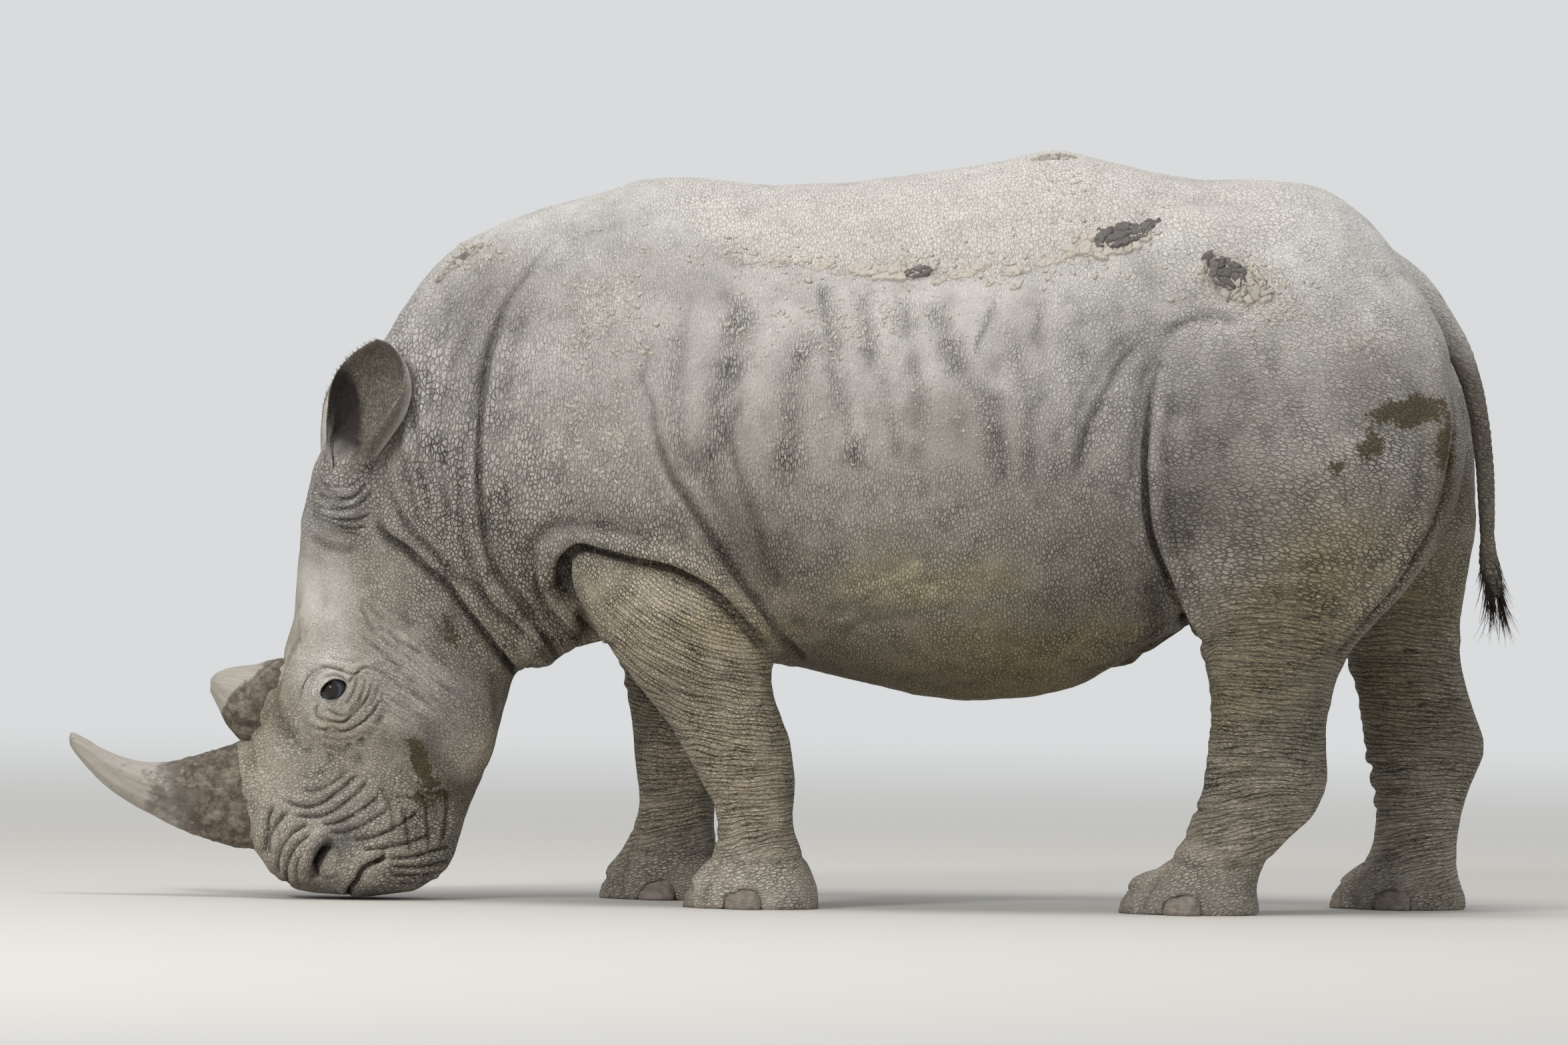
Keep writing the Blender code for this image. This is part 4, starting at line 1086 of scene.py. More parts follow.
eyeballs = []
lid_edge = np.zeros(len(points))
tilt = math.radians(EYE_TILT)
for name, side in (("eye_left", -1), ("eye_right", 1)):
    low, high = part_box(name)
    ball = np.array((low + high) / 2) - [0, side * BALL_IN, 0]
    eyeballs.append((name, side, ball))
    near = np.flatnonzero((np.linalg.norm(points - ball, axis=1) < 0.13) & (points[:, 1] * side > 0.03))
    off = points[near] - ball
    u = off[:, 0] * math.cos(tilt) + off[:, 2] * math.sin(tilt)
    v = -off[:, 0] * math.sin(tilt) + off[:, 2] * math.cos(tilt)
    out = off[:, 1] * side
    across = np.hypot(u, v)
    almond = ((np.abs(u) / OPENING[0]) ** ALMOND + (np.abs(v) / OPENING[1]) ** ALMOND) ** (1 / ALMOND)
    out = out + MOUND[0] * np.exp(-((across / MOUND[1]) ** 2))
    thick = LID + 0.003 * smooth_step(v, -0.002, 0.01)
    dome = np.sqrt(np.maximum((BALL_RADIUS + thick) ** 2 - across**2, 0.0))
    over = np.maximum(out, dome)
    rim = smooth_step(almond, 0.96, 1.06)
    points[near, 1] = ball[1] + side * (-0.006 + (over + 0.006) * rim)
    lid_edge[near] = np.exp(-(((almond - 1.02) / 0.1) ** 2)) * smooth_step(out, -0.02, 0.0)
    # Points just outside the opening are drawn onto its rim, so that the rim is crisp
    drawn = np.exp(-(((almond - 1.03) / 0.05) ** 2))[:, None] * 0.6
    level = off[:, [0, 2]]
    pull = drawn * (level / np.maximum(almond, 0.2)[:, None] * 1.045 - level)
    points[near, 0] += pull[:, 0]
    points[near, 2] += pull[:, 1]
at_rim = relax(np.stack([lid_edge > 0.05] * 3, 1).astype(float), edges, [0.5] * 2)[:, 0]
points = relax(points, edges, [0.3 * at_rim] * 2)
put_points(hide, points)

# %% Nostrils and mouth
FACE_HOLES = {
    "nostril": fold("-1036,42 -1038,58 -1031,82 -1020,104 -1006,120 -994,127", 50, 12, 9, 8, 0.1, 0.25),
    "mouth": fold("-884,98 -896,89 -919,79 -936,66 -945,45 -958,30 -968,10", 24, 7, 6, 6, 0.02, 0.01),
    "corner of the mouth": fold("-905,88 -896,90 -886,96", 14, 8, 2, 2),
}
shift = np.zeros_like(points)
normals = soft_normals(hide, edges, 4)
flat = as_left(points)
for places, sizes in FACE_HOLES.values():
    press(shift, crease, flat, points, normals, places, **sizes)
shift[:, 2] = np.maximum(shift[:, 2], -np.maximum(points[:, 2] - FLOOR_BAND[0], 0.0))
put_points(hide, points + shift)
points = points_of(hide)

# %% [markdown]
# ## Toes and toenails
# A rhinoceros stands on three toes in front and three behind, each with a broad flat nail. The
# nails are fine copies of the plain solids, ringed with growth lines. On the hide a swelling
# runs over each nail, and a groove parts each toe from the next.

# %% Grooves between the toes
NAIL_NAMES = [n for n in frame["nodes"] if n.startswith("nail_")]
nail_boxes = {n: np.array([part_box(n)[0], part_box(n)[1]]) for n in NAIL_NAMES}
normals = soft_normals(hide, edges, 4)
toe_crease = np.zeros(len(points))
for legs in ("front", "hind"):
    for side in ("left", "right"):
        toes = [nail_boxes[f"nail_{legs}_{side}_{t}"].mean(0) for t in ("inner", "middle", "outer")]
        low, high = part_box(f"foot_{legs}_{side}")
        heel = np.array([low.x * 0.35 + high.x * 0.65, (low.y + high.y) / 2])
        inside = ((points > np.array(low) - 0.02) & (points < np.array(high) + 0.02)).all(1)
        near = np.flatnonzero(inside & (points[:, 2] < 0.16))
        away = points[near, :2] - heel
        angle = np.arctan2(away[:, 1], -away[:, 0])
        bearings = sorted(math.atan2(t[1] - heel[1], -(t[0] - heel[0])) for t in toes)
        height = np.zeros(len(near))
        low_down = smooth_step(points[near, 2], 0.125, 0.06)
        for a, b in zip(bearings, bearings[1:]):
            groove = np.exp(-(((angle - (a + b) / 2) / 0.085) ** 2)) * low_down
            height -= 0.013 * groove
            toe_crease[near] = np.maximum(toe_crease[near], 0.9 * groove)
        for bearing in bearings:
            level_with_nail = np.exp(-(((points[near, 2] - 0.062) / 0.026) ** 2))
            height += 0.006 * (np.exp(-(((angle - bearing) / 0.26) ** 2)) * level_with_nail)
        level = normals[near] * [1, 1, 0.2]
        points[near] += level * (height * smooth_step(points[near, 2], 0.0, 0.012))[:, None]
crease = np.maximum(crease, toe_crease)
put_points(hide, points)

# %% Toenails, ringed with growth lines
nails = []
for name in NAIL_NAMES:
    nail = fine_copy(name, 0.0034, 5, grow=0.0015)
    nail.name = name.replace("nail", "toenail")
    nail_points = points_of(nail)
    rings = np.sin(2 * math.pi * nail_points[:, 2] / 0.0075 + 2.0 * cloud(nail_points, 0.03, 8))
    nail_points += normals_of(nail) * (0.0006 * rings + 0.0011 * cloud(nail_points, 0.014, 9))[:, None]
    nail_points[:, 2] = np.maximum(nail_points[:, 2], 0.0006)
    put_points(nail, nail_points)
    nails.append(nail)
    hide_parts(name)
    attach(nail, "root")
print("toenails:", len(nails), "of", triangles(nails[0]), "triangles")

# %% [markdown]
# ## The hide, step 5: what the surface remembers
# Pattern and colour follow the body, so they are worked out here for each point of the mesh
# and saved as attributes that the shader reads. The first is a bent copy of space: where the
# hide is creased upright, as on the flank, space is squeezed across and stretched along, and a
# cell pattern drawn in it comes out as upright cells. The table gives each region's direction,
# stretch and grain. Between regions the values blend.

# %% Grain of the hide, region by region
# Each row: X and Z of the middle and reach in millimetres, direction of the creases in degrees
# from +X, stretch, share of coarse cells, depth of the relief, size of the cells
REGIONS = """
-800 1050 160 104 3 0.85 0.95 0.92
-720 850 130 112 2.7 1 1.2 1
-620 650 120 128 2.7 1 1.2 0.95
-700 1330 130 60 2.7 0.45 0.66 0.72
-520 1280 120 98 5.1 0.45 0.6 0.65
-380 1200 150 92 5.1 0.25 0.5 0.6
-480 970 140 95 3.2 0.6 0.7 0.65
-400 830 80 100 2.7 0.9 1 0.75
-240 610 150 -20 5.1 1 1.15 0.8
-370 640 100 -30 3.8 0.9 1 0.7
-160 460 80 -14 6.5 1 1.15 0.72
-90 300 100 4 7 1 1.1 0.62
-80 140 80 10 4.4 0.9 0.95 0.58
-80 40 70 25 1.8 0.6 0.8 0.6
-50 1150 200 92 6.5 0.35 0.5 0.55
300 1150 220 88 6.5 0.35 0.45 0.55
50 750 160 55 1.8 0.8 0.9 0.75
100 900 140 85 2.7 0.6 0.75 0.65
380 660 200 20 1.7 0.85 0.9 0.8
450 880 140 80 2.2 0.65 0.75 0.65
660 1100 130 68 4.4 0.85 0.9 0.7
680 850 120 72 2.7 0.9 0.95 0.8
740 660 90 55 2 0.9 1 0.8
950 1280 140 178 2.7 0.5 0.65 0.65
920 1080 130 170 3.2 0.55 0.7 0.58
920 900 120 168 3.2 0.8 0.85 0.65
1220 920 150 145 2.2 0.95 1 0.75
1000 700 110 -4 4.4 0.95 1.05 0.72
1060 500 90 -8 6.5 0.95 1.1 0.65
1060 340 80 -4 6.5 0.95 1.1 0.6
960 180 80 16 5.1 0.9 1 0.58
900 50 80 20 2 0.6 0.8 0.6
1200 1250 160 160 2.5 0.45 0.65 0.62
450 1500 300 80 1.4 0.4 0.45 0.85
-200 1480 200 90 2.2 0.4 0.45 0.75
1150 1500 150 160 1.6 0.4 0.5 0.75
-980 860 60 2 4.4 0.6 0.95 0.55
-900 760 70 40 2 0.5 0.8 0.55
-1020 660 80 60 1.1 0.05 0.3 0.5
-840 560 130 -38 3.8 0.4 0.8 0.5
-900 360 110 -28 3.8 0.5 0.85 0.5
-750 330 80 -60 3.2 0.65 0.85 0.55
-1030 260 90 20 2.7 0.5 0.9 0.5
-820 140 100 20 2.5 0.9 1.05 0.62
-1030 120 80 60 2.7 0.5 0.85 0.5
-1000 455 55 30 2.2 0.12 0.55 0.42
1500 1000 80 5 3.8 0.8 0.8 0.5
"""


def squeeze(direction, stretch, size):
    """The 2 x 2 matrix that shortens lengths along the direction and widens across it."""
    c, s = math.cos(math.radians(direction)), math.sin(math.radians(direction))
    along, over, root = np.array([c, s]), np.array([-s, c]), math.sqrt(stretch)
    return (np.outer(along, along) / root + np.outer(over, over) * root) / size


def field_from_slopes(slope_x, slope_z, step, inside, rounds=500):
    """The field whose slopes inside the body come nearest to those asked for, by conjugate gradients."""
    weights = [np.minimum(inside[1:], inside[:-1]), np.minimum(inside[:, 1:], inside[:, :-1])]

    def gathered(steps_x, steps_z):
        out = np.zeros_like(slope_x)
        out[1:] += weights[0] * steps_x
        out[:-1] -= weights[0] * steps_x
        out[:, 1:] += weights[1] * steps_z
        out[:, :-1] -= weights[1] * steps_z
        return out

    field = np.zeros_like(slope_x)
    rest = gathered(0.5 * step * (slope_x[1:] + slope_x[:-1]),
                    0.5 * step * (slope_z[:, 1:] + slope_z[:, :-1]))
    search, size = rest.copy(), (rest**2).sum()
    for _ in range(rounds):
        moved = gathered(np.diff(search, axis=0), np.diff(search, axis=1))
        stride = size / (search * moved).sum()
        field += stride * search
        rest -= stride * moved
        size, before = (rest**2).sum(), size
        search = rest + size / before * search
    return field


def on_grid(field, start, step, places):
    """Reads a gridded field at places between its points."""
    spot = (places - start) / step
    cell = np.clip(np.floor(spot).astype(int), 0, np.array(field.shape[:2]) - 2)
    (a, b), (i, j) = np.clip(spot - cell, 0, 1).T, cell.T
    return ((field[i, j] * (1 - a) + field[i + 1, j] * a) * (1 - b)
            + (field[i, j + 1] * (1 - a) + field[i + 1, j + 1] * a) * b)


def regional(places):
    """Blended values of the table at places: matrix, coarse share, depth, way across, stretch."""
    total, value = 0.0, 0.0
    for x, z, reach, direction, stretch, coarse_share, depth, size in numbers(REGIONS, 3):
        weight = np.exp(-((places - (x, z)) ** 2).sum(-1) / (2 * reach**2)) + 1e-9
        lean = math.radians((direction + 90) % 180 - 90)
        row = [*squeeze(direction, stretch, size).ravel(), coarse_share, depth,
               -math.sin(lean), math.cos(lean), stretch]
        value = value + weight[..., None] * np.array(row)
        total = total + weight
    return value / total[..., None]


GRID_START, GRID_STEP, COLUMNS, ROWS = np.array([-1.7, -0.06]), 0.02, 171, 93
OUTSIDE = 0.003  # how little a slope counts outside the body
cells = np.stack(np.meshgrid(np.arange(COLUMNS), np.arange(ROWS), indexing="ij"), -1)
slopes = regional(GRID_START + GRID_STEP * cells)
flat = as_left(points)
inside = np.full((COLUMNS, ROWS), OUTSIDE)
inside[tuple(np.rint((flat - GRID_START) / GRID_STEP).astype(int).T)] = 1.0
bent_x, bent_z, across = (
    on_grid(field_from_slopes(slopes[..., i], slopes[..., k], GRID_STEP, inside), GRID_START, GRID_STEP, flat)
    for i, k in ((0, 2), (1, 3), (6, 7)))
bent = np.stack([bent_x, 1.2 * points[:, 1], bent_z], 1)
coarse, relief, _, _, stretched = regional(flat)[:, 4:].T
wobble = np.stack([cloud(points, 0.03, seed) for seed in (11, 12, 13)], 1)
store(hide, "hide_map", bent + 0.0035 * wobble, "FLOAT_VECTOR")
# Long wavy wrinkles run round the legs: this map is drawn out seven times along them
DRAWN_OUT = 0.14
across += 0.005 * cloud(points, 0.07, 19)
leg_map = np.stack([across, DRAWN_OUT * points[:, 1], DRAWN_OUT * (points[:, 0] + points[:, 2])], 1)
store(hide, "leg_map", leg_map, "FLOAT_VECTOR")
wrinkled = smooth_step(stretched, 3.0, 4.6) * smooth_step(flat[:, 1], 0.8, 0.66)
store(hide, "wrinkled", wrinkled)
patches, ear = cloud(points, 0.06, 47, 3), on_ear(points)
coarse = coarse * (1.0 - 0.45 * wrinkled) * (1.0 - ear) * (0.85 + 0.3 * patches)
coarse += 0.1 * cloud(points, 0.02, 16, 2)
relief *= 1.0 - 0.55 * ear
# Between the ribs the skin gathers in upright bands of wrinkles; on the ribs it is smooth
# Places, half width, strength
RIB_BANDS = [
    ("-130,1300 -150,1150 -180,960", 0.03, 1.0),
    ("15,1240 -10,1120 -20,940", 0.026, 0.9),
    ("60,1350 90,1170 130,990", 0.018, 0.8),
    ("140,1350 165,1220 190,1140 220,1020", 0.016, 0.7),
    ("230,1330 260,1200 280,1050", 0.014, 0.45),
    ("300,1310 350,1200 420,1100 440,980", 0.024, 0.85),
    ("440,1360 390,1230", 0.007, 0.9),
    ("540,1345 520,1270", 0.006, 0.7),
    ("470,1260 500,1100 500,950", 0.022, 0.5),
    ("-260,1240 -270,1100 -240,980", 0.022, 0.5),
]
bands = np.zeros(len(points))
patchy = 0.75 + 0.5 * cloud(points, 0.06, 41, 2)
for places, half, strength in RIB_BANDS:
    away = np.abs(beside(flat + 0.01 * wobble[:, :2], curve_through(path(places)))[0])
    bands = np.maximum(bands, strength * patchy * np.exp(-((away / half) ** 2)))
on_flank = smooth_step(flat[:, 0], -0.36, -0.2) * smooth_step(flat[:, 0], 0.62, 0.48)
on_flank *= smooth_step(flat[:, 1], 0.92, 1.04) * smooth_step(flat[:, 1], 1.42, 1.34)
relief = relief * (1 - 0.45 * on_flank) + 0.75 * bands
coarse = np.clip(coarse + 0.5 * bands, 0, 1)
store(hide, "coarse", coarse)
faces_up = smooth_step(soft_normals(hide, edges, 4)[:, 2], 0.4, 0.9)
relief *= 1.0 - 0.35 * faces_up * smooth_step(flat[:, 0], -0.4, -0.6)
relief = np.clip(relief * (1.0 + 0.28 * patches + 0.25 * wobble[:, 1]), 0.05, 1.6)

# %% Hollows, where dirt gathers and shade is painted
normals = soft_normals(hide, edges, 1)
hollow = np.zeros(len(points))
for passes, gain in ((4, 420.0), (14, 170.0)):
    middle = relax(points, edges, [0.6] * passes)
    hollow = np.maximum(hollow, ((middle - points) * normals).sum(1) * gain)
hollow = np.clip(np.maximum(hollow, 0.8 * crease), 0.0, 1.0)
hollow *= 1.0 - 0.8 * smooth_step(np.linalg.norm(points - TAIL_ROOT, axis=1), 0.24, 0.16)

# %% [markdown]
# ## The hide, step 6: colour
# The animal is grey, but hardly any of its own grey shows. Pale dust lies on the back and the
# upper flanks, and it thins downwards. Damp and old mud darken the belly and the legs, and grass
# has rubbed the belly, the elbow and the thigh olive. The belly is also painted darker as painted
# shade, and so are the folds, the hollows, the nostrils, the far foreleg and the deep parts of the
# ears. A painter would lay in a ground that changes with height and then dab softer patches over
# it. The list does just that: each dab has a place, a size, a colour and a strength, and noise
# frays its edge.

# %% Ground and dabs
GROUND_HEIGHTS = [0.0, 0.15, 0.35, 0.55, 0.75, 0.95, 1.15, 1.32, 1.46, 1.66]
GROUND_TONES = ["#a79e91", "#aea493", "#a29886", "#948a7a", "#989186", "#9e9790", "#a9a49f",
                "#b2ada8", "#b8b4af", "#bfbcb7"]
# What it is: X, Z and the two radii in millimetres, colour, strength. The dabs on the
# armpit, behind the fold before the stifle and on the muzzle folds are painted shade, and the
# large dab on the belly is partly damp and partly painted shade.
DABS = """
damp belly: 450 500 400 100 #7d6d48 0.85
belly behind the foreleg: 150 600 300 140 #7b7260 0.55
grass rubbed on the belly: 400 740 90 40 #9a8e5c 0.5
grass rubbed on the belly: 550 600 200 50 #8d7f4c 0.45
lower flank: 300 780 300 100 #827a6b 0.35
upper foreleg: -260 620 220 140 #cfc1a4 0.72
elbow, grass rubbed: -160 620 150 50 #ab9c74 0.5
foreleg: -120 340 150 180 #c2b39a 0.75
dewlap: -620 660 100 140 #9c968a 0.55
neck: -770 980 120 200 #aaa59e 0.65
nape: -720 1300 120 100 #8c8884 0.6
over the sleeve fold: -500 850 140 80 #99938a 0.45
shoulder: -380 980 160 100 #958f86 0.45
behind the shoulder: -120 1020 100 180 #9b958d 0.45
hollow behind the shoulder: 20 1120 70 140 #8f8980 0.45
flank, dusted: 240 1280 400 90 #b4b0ab 0.55
top of the shoulder: -420 1460 160 90 #a5a19c 0.55
lower flank: 200 980 220 80 #958e84 0.4
before the stifle: 620 820 140 140 #837d73 0.45
thigh: 980 1040 130 150 #928c85 0.55
thigh, lower: 930 870 130 70 #7b766e 0.6
buttock: 1260 1160 120 80 #918b83 0.45
thigh, grass rubbed: 1220 820 160 140 #8b8068 0.75
thigh, grass rubbed: 1020 660 130 70 #857a66 0.6
hock: 1150 420 100 120 #7f7867 0.6
under the tail: 1430 900 70 240 #645a46 0.8
rump, dusted: 1100 1460 260 100 #bfbcb8 0.5
flank behind the ribs: 490 1270 80 80 #97928c 0.55
between the ribs, low: 290 1040 80 70 #8d867e 0.5
forehead: -1010 660 60 110 #cbc7c1 0.75
below the ear: -1020 860 70 50 #b0ada9 0.6
brow: -1035 500 55 90 #d8d4cd 0.8
cheek: -860 500 160 150 #b3afa8 0.65
damp patch on the cheek: -760 600 45 55 #6a625b 0.7
damp patch on the cheek: -930 675 22 18 #777069 0.6
damp streak on the jaw: -790 320 35 65 #5a5346 0.85
damp streak on the jaw: -720 250 60 50 #605648 0.65
jaw: -740 420 100 100 #7c7976 0.5
muzzle: -1000 200 170 120 #a8a49d 0.6
between the eye and the horn: -1085 390 30 60 #8b867e 0.6
folds of the muzzle: -985 130 55 35 #605d59 0.8
low on the cheek: -770 300 60 50 #6b675f 0.6
damp lips: -980 25 160 40 #6b665f 0.8
chin: -760 120 80 90 #8c877c 0.6
behind the front horn: -1100 300 60 90 #aba397 0.55
neck, damp: -620 1330 150 110 #7d7872 0.6
shoulder, damp: -270 1370 150 90 #87827c 0.5
neck, damp: -700 1180 50 80 #76716b 0.45
before the hip: 760 1250 130 100 #7d7872 0.45
thigh, upper: 940 1100 150 110 #7d776f 0.4
buttock: 1270 1140 130 90 #7a746c 0.45
lower flank: 440 1020 130 110 #7f7971 0.45
thigh, middle: 980 880 130 100 #645f57 0.5
armpit: -80 780 120 90 #59544c 0.65
low behind the belly: 550 670 100 70 #615944 0.45
behind the flank fold: 790 700 50 80 #4d4841 0.55
grass rubbed on the belly: 250 710 110 45 #bdb188 0.55
shoulder, dusted: -570 960 80 90 #b7b2ac 0.5
neck, dusted: -840 1060 60 80 #bdb9b3 0.5
front of the foreleg: -310 700 60 70 #cdc2ae 0.55
low on the cheek: -840 360 60 50 #6b6761 0.55
thigh, grass rubbed: 1130 700 140 130 #84744a 0.5
hind leg, grass rubbed: 1000 500 120 120 #84764c 0.4
above the hind foot: 900 230 60 70 #777064 0.5
forefoot: -80 60 200 70 #bbb3a9 0.6
hind foot: 900 50 200 70 #8b857d 0.6
"""

linear_rows = np.array([linear(tone) for tone in GROUND_TONES])
frayed = flat + 0.05 * np.stack([cloud(points, 0.16, 3), cloud(points, 0.16, 4)], 1)
paint = np.stack([np.interp(frayed[:, 1], GROUND_HEIGHTS, linear_rows[:, k]) for k in range(3)], 1)
for line in DABS.strip().splitlines():
    *place_and_radii, tone, strength = line.split(": ")[1].split()
    x, z, wide, high = (metres(v) for v in place_and_radii)
    off = (frayed - (x, z)) / (wide, high)
    share = float(strength) * np.exp(-((off**2).sum(1) ** 1.3))
    paint += share[:, None] * (np.array(linear(tone)) - paint)

blotch = cloud(points, 0.07, 5, 3) + 0.6 * cloud(points, 0.025, 6, 2)
streaks = cloud(points * [1, 1, 0.22], 0.03, 17, 2)  # rain draws upright streaks on the flank
paint *= (1.0 + 0.11 * blotch + 0.07 * streaks)[:, None]
# A deep relief gets paler paint, which makes up for its dark cracks
paint *= (1.0 + 0.1 * relief + 0.45 * ear * cloud(points, 0.01, 44, 2))[:, None]


def toned(share, tone):
    """Lays one colour over the paint, by each point's share."""
    global paint
    paint = paint + np.asarray(share)[:, None] * (np.array(linear(tone)) - paint)


def patch_mask(middle, radii, turn=0.0, edge=1.4):
    """A soft oval on the side view: 1 in its middle, near 0 outside its radii."""
    off = flat - middle
    c, s = math.cos(math.radians(turn)), math.sin(math.radians(turn))
    off = np.stack([off[:, 0] * c + off[:, 1] * s, -off[:, 0] * s + off[:, 1] * c], 1) / radii
    return np.exp(-((off**2).sum(1) ** edge))


# The far foreleg is painted darker: it is wetter than the near one, and the darkening is also painted shade
# of that side
far_leg = smooth_step(points[:, 1], 0.02, 0.08) * smooth_step(points[:, 2], 0.62, 0.45)
toned(0.35 * far_leg * (points[:, 0] < 0.4), "#5d5445")
# The inner wall of an ear faces its opening and is painted darker; its deep part is painted nearly black, as
# painted shadow of the front rim
mirrored = np.where(points[:, 1:2] < 0, [[1, 1, 1]], [[1, -1, 1]])
facing = (normals * mirrored) @ (EAR_OPENS / np.linalg.norm(EAR_OPENS))
home = points * mirrored - np.where(points[:, 1:2] < 0, 0.0, EAR_RIGHT_AHEAD)
ear_share = (home - EAR_BASE) @ EAR_RISE / (EAR_RISE @ EAR_RISE)
ear_inside = ear * smooth_step(facing, -0.05, 0.35)
cup_shadow_edge = np.interp(ear_share, [0.1, 0.22, 0.45, 0.6, 0.72], [-0.958, -0.95, -0.948, -0.965, -0.995])
cup_shadow_edge += 0.006 * cloud(points, 0.02, 18)
cup_shadow = ear_inside * smooth_step(home[:, 0] - cup_shadow_edge, 0.006, -0.006)
cup_shadow *= smooth_step(ear_share, 0.74, 0.64)
toned(0.85 * ear_inside, "#625a4e")
concha = patch_mask((-0.989, 0.987), (0.021, 0.018), 20) * smooth_step(facing, 0.0, 0.4)
cup_shadow = np.maximum(cup_shadow, concha)
toned(0.94 * cup_shadow, "#211c19")
store(hide, "relief", (relief + 0.6 * ear_inside) * (1 - 0.9 * cup_shadow))
ear_back = ear * (1 - ear_inside) * smooth_step(ear_share, 0.65, 0.45)
toned(0.5 * ear_back, "#bdb7ae")
# The tail darkens downwards. The bands between the ribs are painted darker as painted shade, and every hollow
# is painted dark for dirt and for painted shade
toned(0.75 * on_tail(points) * smooth_step(points[:, 2], 1.29, 1.16), "#6b614f")
toned(0.38 * np.clip(bands, 0, 1), "#6a645c")
toned(0.45 * hollow * (1 - 0.7 * ear_inside), "#433d36")
# The bottoms of the folds and wrinkles are painted nearly black as painted shade, and the edges of the lids
# are nearly black
toned(0.65 * smooth_step(fold_bottom_shade, 0.45, 1.0) * (1 - ear), "#231f1b")
toned(0.62 * smooth_step(face_fold_shade, 0.4, 0.95), "#2b2622")
toned(0.95 * lid_edge, "#1b1716")
# The nostril is painted dark as painted shade inside the opening, darkest in its middle
toned(0.72 * patch_mask((-1.034, 0.1), (0.018, 0.042), -28), "#2f2b27")
nostril_shade = smooth_step(np.hypot((flat[:, 0] + 1.022) * 1.3, flat[:, 1] - 0.086), 0.04, 0.015)
toned(0.85 * nostril_shade * smooth_step(crease, 0.5, 0.9), "#171412")
store(hide, "hide_colour", np.column_stack([paint, np.ones(len(paint))]), "FLOAT_COLOR")


# %% Where crusts of mud and stains lie
CRUST_EDGE = np.array(path(
    "-600,1620 -240,1470 -170,1420 -60,1410 140,1390 370,1390 490,1400 590,1440 660,1460 800,1500 "
    "1000,1450 1300,1520"))
# X, Z and the two radii in millimetres; a stain's turn in degrees; strength
CRUSTS = """
950 1400 140 70 0.8
1240 1260 120 50 0.6
-420 1320 120 120 0.5
-520 1050 80 60 0.45
-380 1030 70 30 0.55
1040 1330 100 50 0.65
-1100 360 50 120 0.5
-1160 240 50 120 0.45
120 1300 140 50 0.45
"""
STAINS = """
1340 1105 100 32 8 1
1250 1030 45 30 40 0.8
1170 985 35 18 20 0.7
1420 1030 30 70 0 0.8
-812 315 23 58 22 0.95
-785 240 44 40 30 0.72
-835 225 34 22 20 0.55
-748 595 22 48 20 0.58
"""
crust = points[:, 2] - np.interp(flat[:, 0], *CRUST_EDGE.T)
crust = smooth_step(crust, -0.035, 0.03) * smooth_step(flat[:, 0], -0.62, 0.05)
crust *= smooth_step(flat[:, 0], 1.35, 0.85)
for x, z, wide, high, strength in numbers(CRUSTS, 4):
    crust = np.maximum(crust, strength * patch_mask((x, z), (wide, high)))
crust += 0.3 * cloud(points, 0.05, 14, 3) * (crust > 0.02)
store(hide, "crust", np.clip(crust, 0, 1))
stain = np.max([strength * patch_mask((x, z), (wide, high), turn)
                for x, z, wide, high, turn, strength in numbers(STAINS, 4)], axis=0)
# Only the outer left side is stained
stain *= smooth_step(-normals[:, 1], 0.45, 0.75) * smooth_step(points[:, 1], -0.05, -0.1)
store(hide, "stain", stain + 0.35 * cloud(points, 0.03, 15, 3) * (stain > 0.03))

# %% [markdown]
# ## The finish of the hide
# Real hide is dull and dry. Light shows it by its cells: plates of thick skin with cracks
# between them, 7 mm across on the face and the rump and 17 mm on the neck and the belly. Two
# patterns draw them in the bent space saved above: a Voronoi pattern the coarse plates, and the
# middle lines of a noise the fine creases, because noise is quick to render. On the legs a
# third pattern, of bent waves, draws the long wrinkles. The distance to the nearest crack is
# the height of a bump, and it also paints the cracks darker, for the dirt they hold and as
# painted shade in them. Noise adds grit.
# Where mud has dried on the hide, its film fills part of the cracks.

# %% Dry, dusted hide
COARSE_CELL = 0.0165
FINE_CELL = 0.007
WRINKLE_SPACING = 0.0095
WAVE_SCALE = 0.3142  # scale at which the wave pattern repeats once in a metre

hide_finish, shader = start_material("dry_dusted_hide")
space = attribute("hide_map", "Vector")
voronoi = node("TexVoronoi", {"feature": "DISTANCE_TO_EDGE"}, Vector=space, Scale=1.0 / COARSE_CELL)
to_edge = voronoi.outputs["Distance"]
coarse_cells = rescaled(to_edge, 0.0, 0.17)
# The middle lines of a noise are a net of wandering creases
moved = node("VectorMath", {"operation": "ADD"}, i0=space, i1=(3.1, 1.7, 5.3)).outputs[0]
off_middle = maths("ABSOLUTE", maths("SUBTRACT", grain(moved, 1.0 / (1.3 * FINE_CELL), 1.0, 0.4), 0.5))
fine_cells = rescaled(off_middle, 0.0, 0.048)
# Bent waves are the long wrinkles round the legs
waves = node("TexWave", {"bands_direction": "X"}, Vector=attribute("leg_map", "Vector"),
             Scale=WAVE_SCALE / WRINKLE_SPACING, Distortion=9.0, Detail=2.0, Detail_Scale=1.6,
             Detail_Roughness=0.6).outputs["Fac"]
long_lines = rescaled(waves, 0.0, 0.42)
grit = grain(object_space(), 120.0, 2.0, 0.65)
coarse_share = attribute("coarse")
frayed_crust = maths("ADD", attribute("crust"), times(grit, 1.1, plus=-0.55))
crust_here = rescaled(frayed_crust, 0.42, 0.58)

height = times(coarse_cells, coarse_share)
height = times(fine_cells, 0.34, plus=height)
height = times(long_lines, attribute("wrinkled"), plus=height)
height = times(height, attribute("relief"))
height = times(height, rescaled(crust_here, 0.0, 1.0, 1.0, 0.25))
height = times(grit, 0.5, plus=height)
film = times(crust_here, rescaled(to_edge, 0.01, 0.05, 0.45, 1.0))
height = times(film, 0.45, plus=height)
emboss(shader, height, 0.0055)

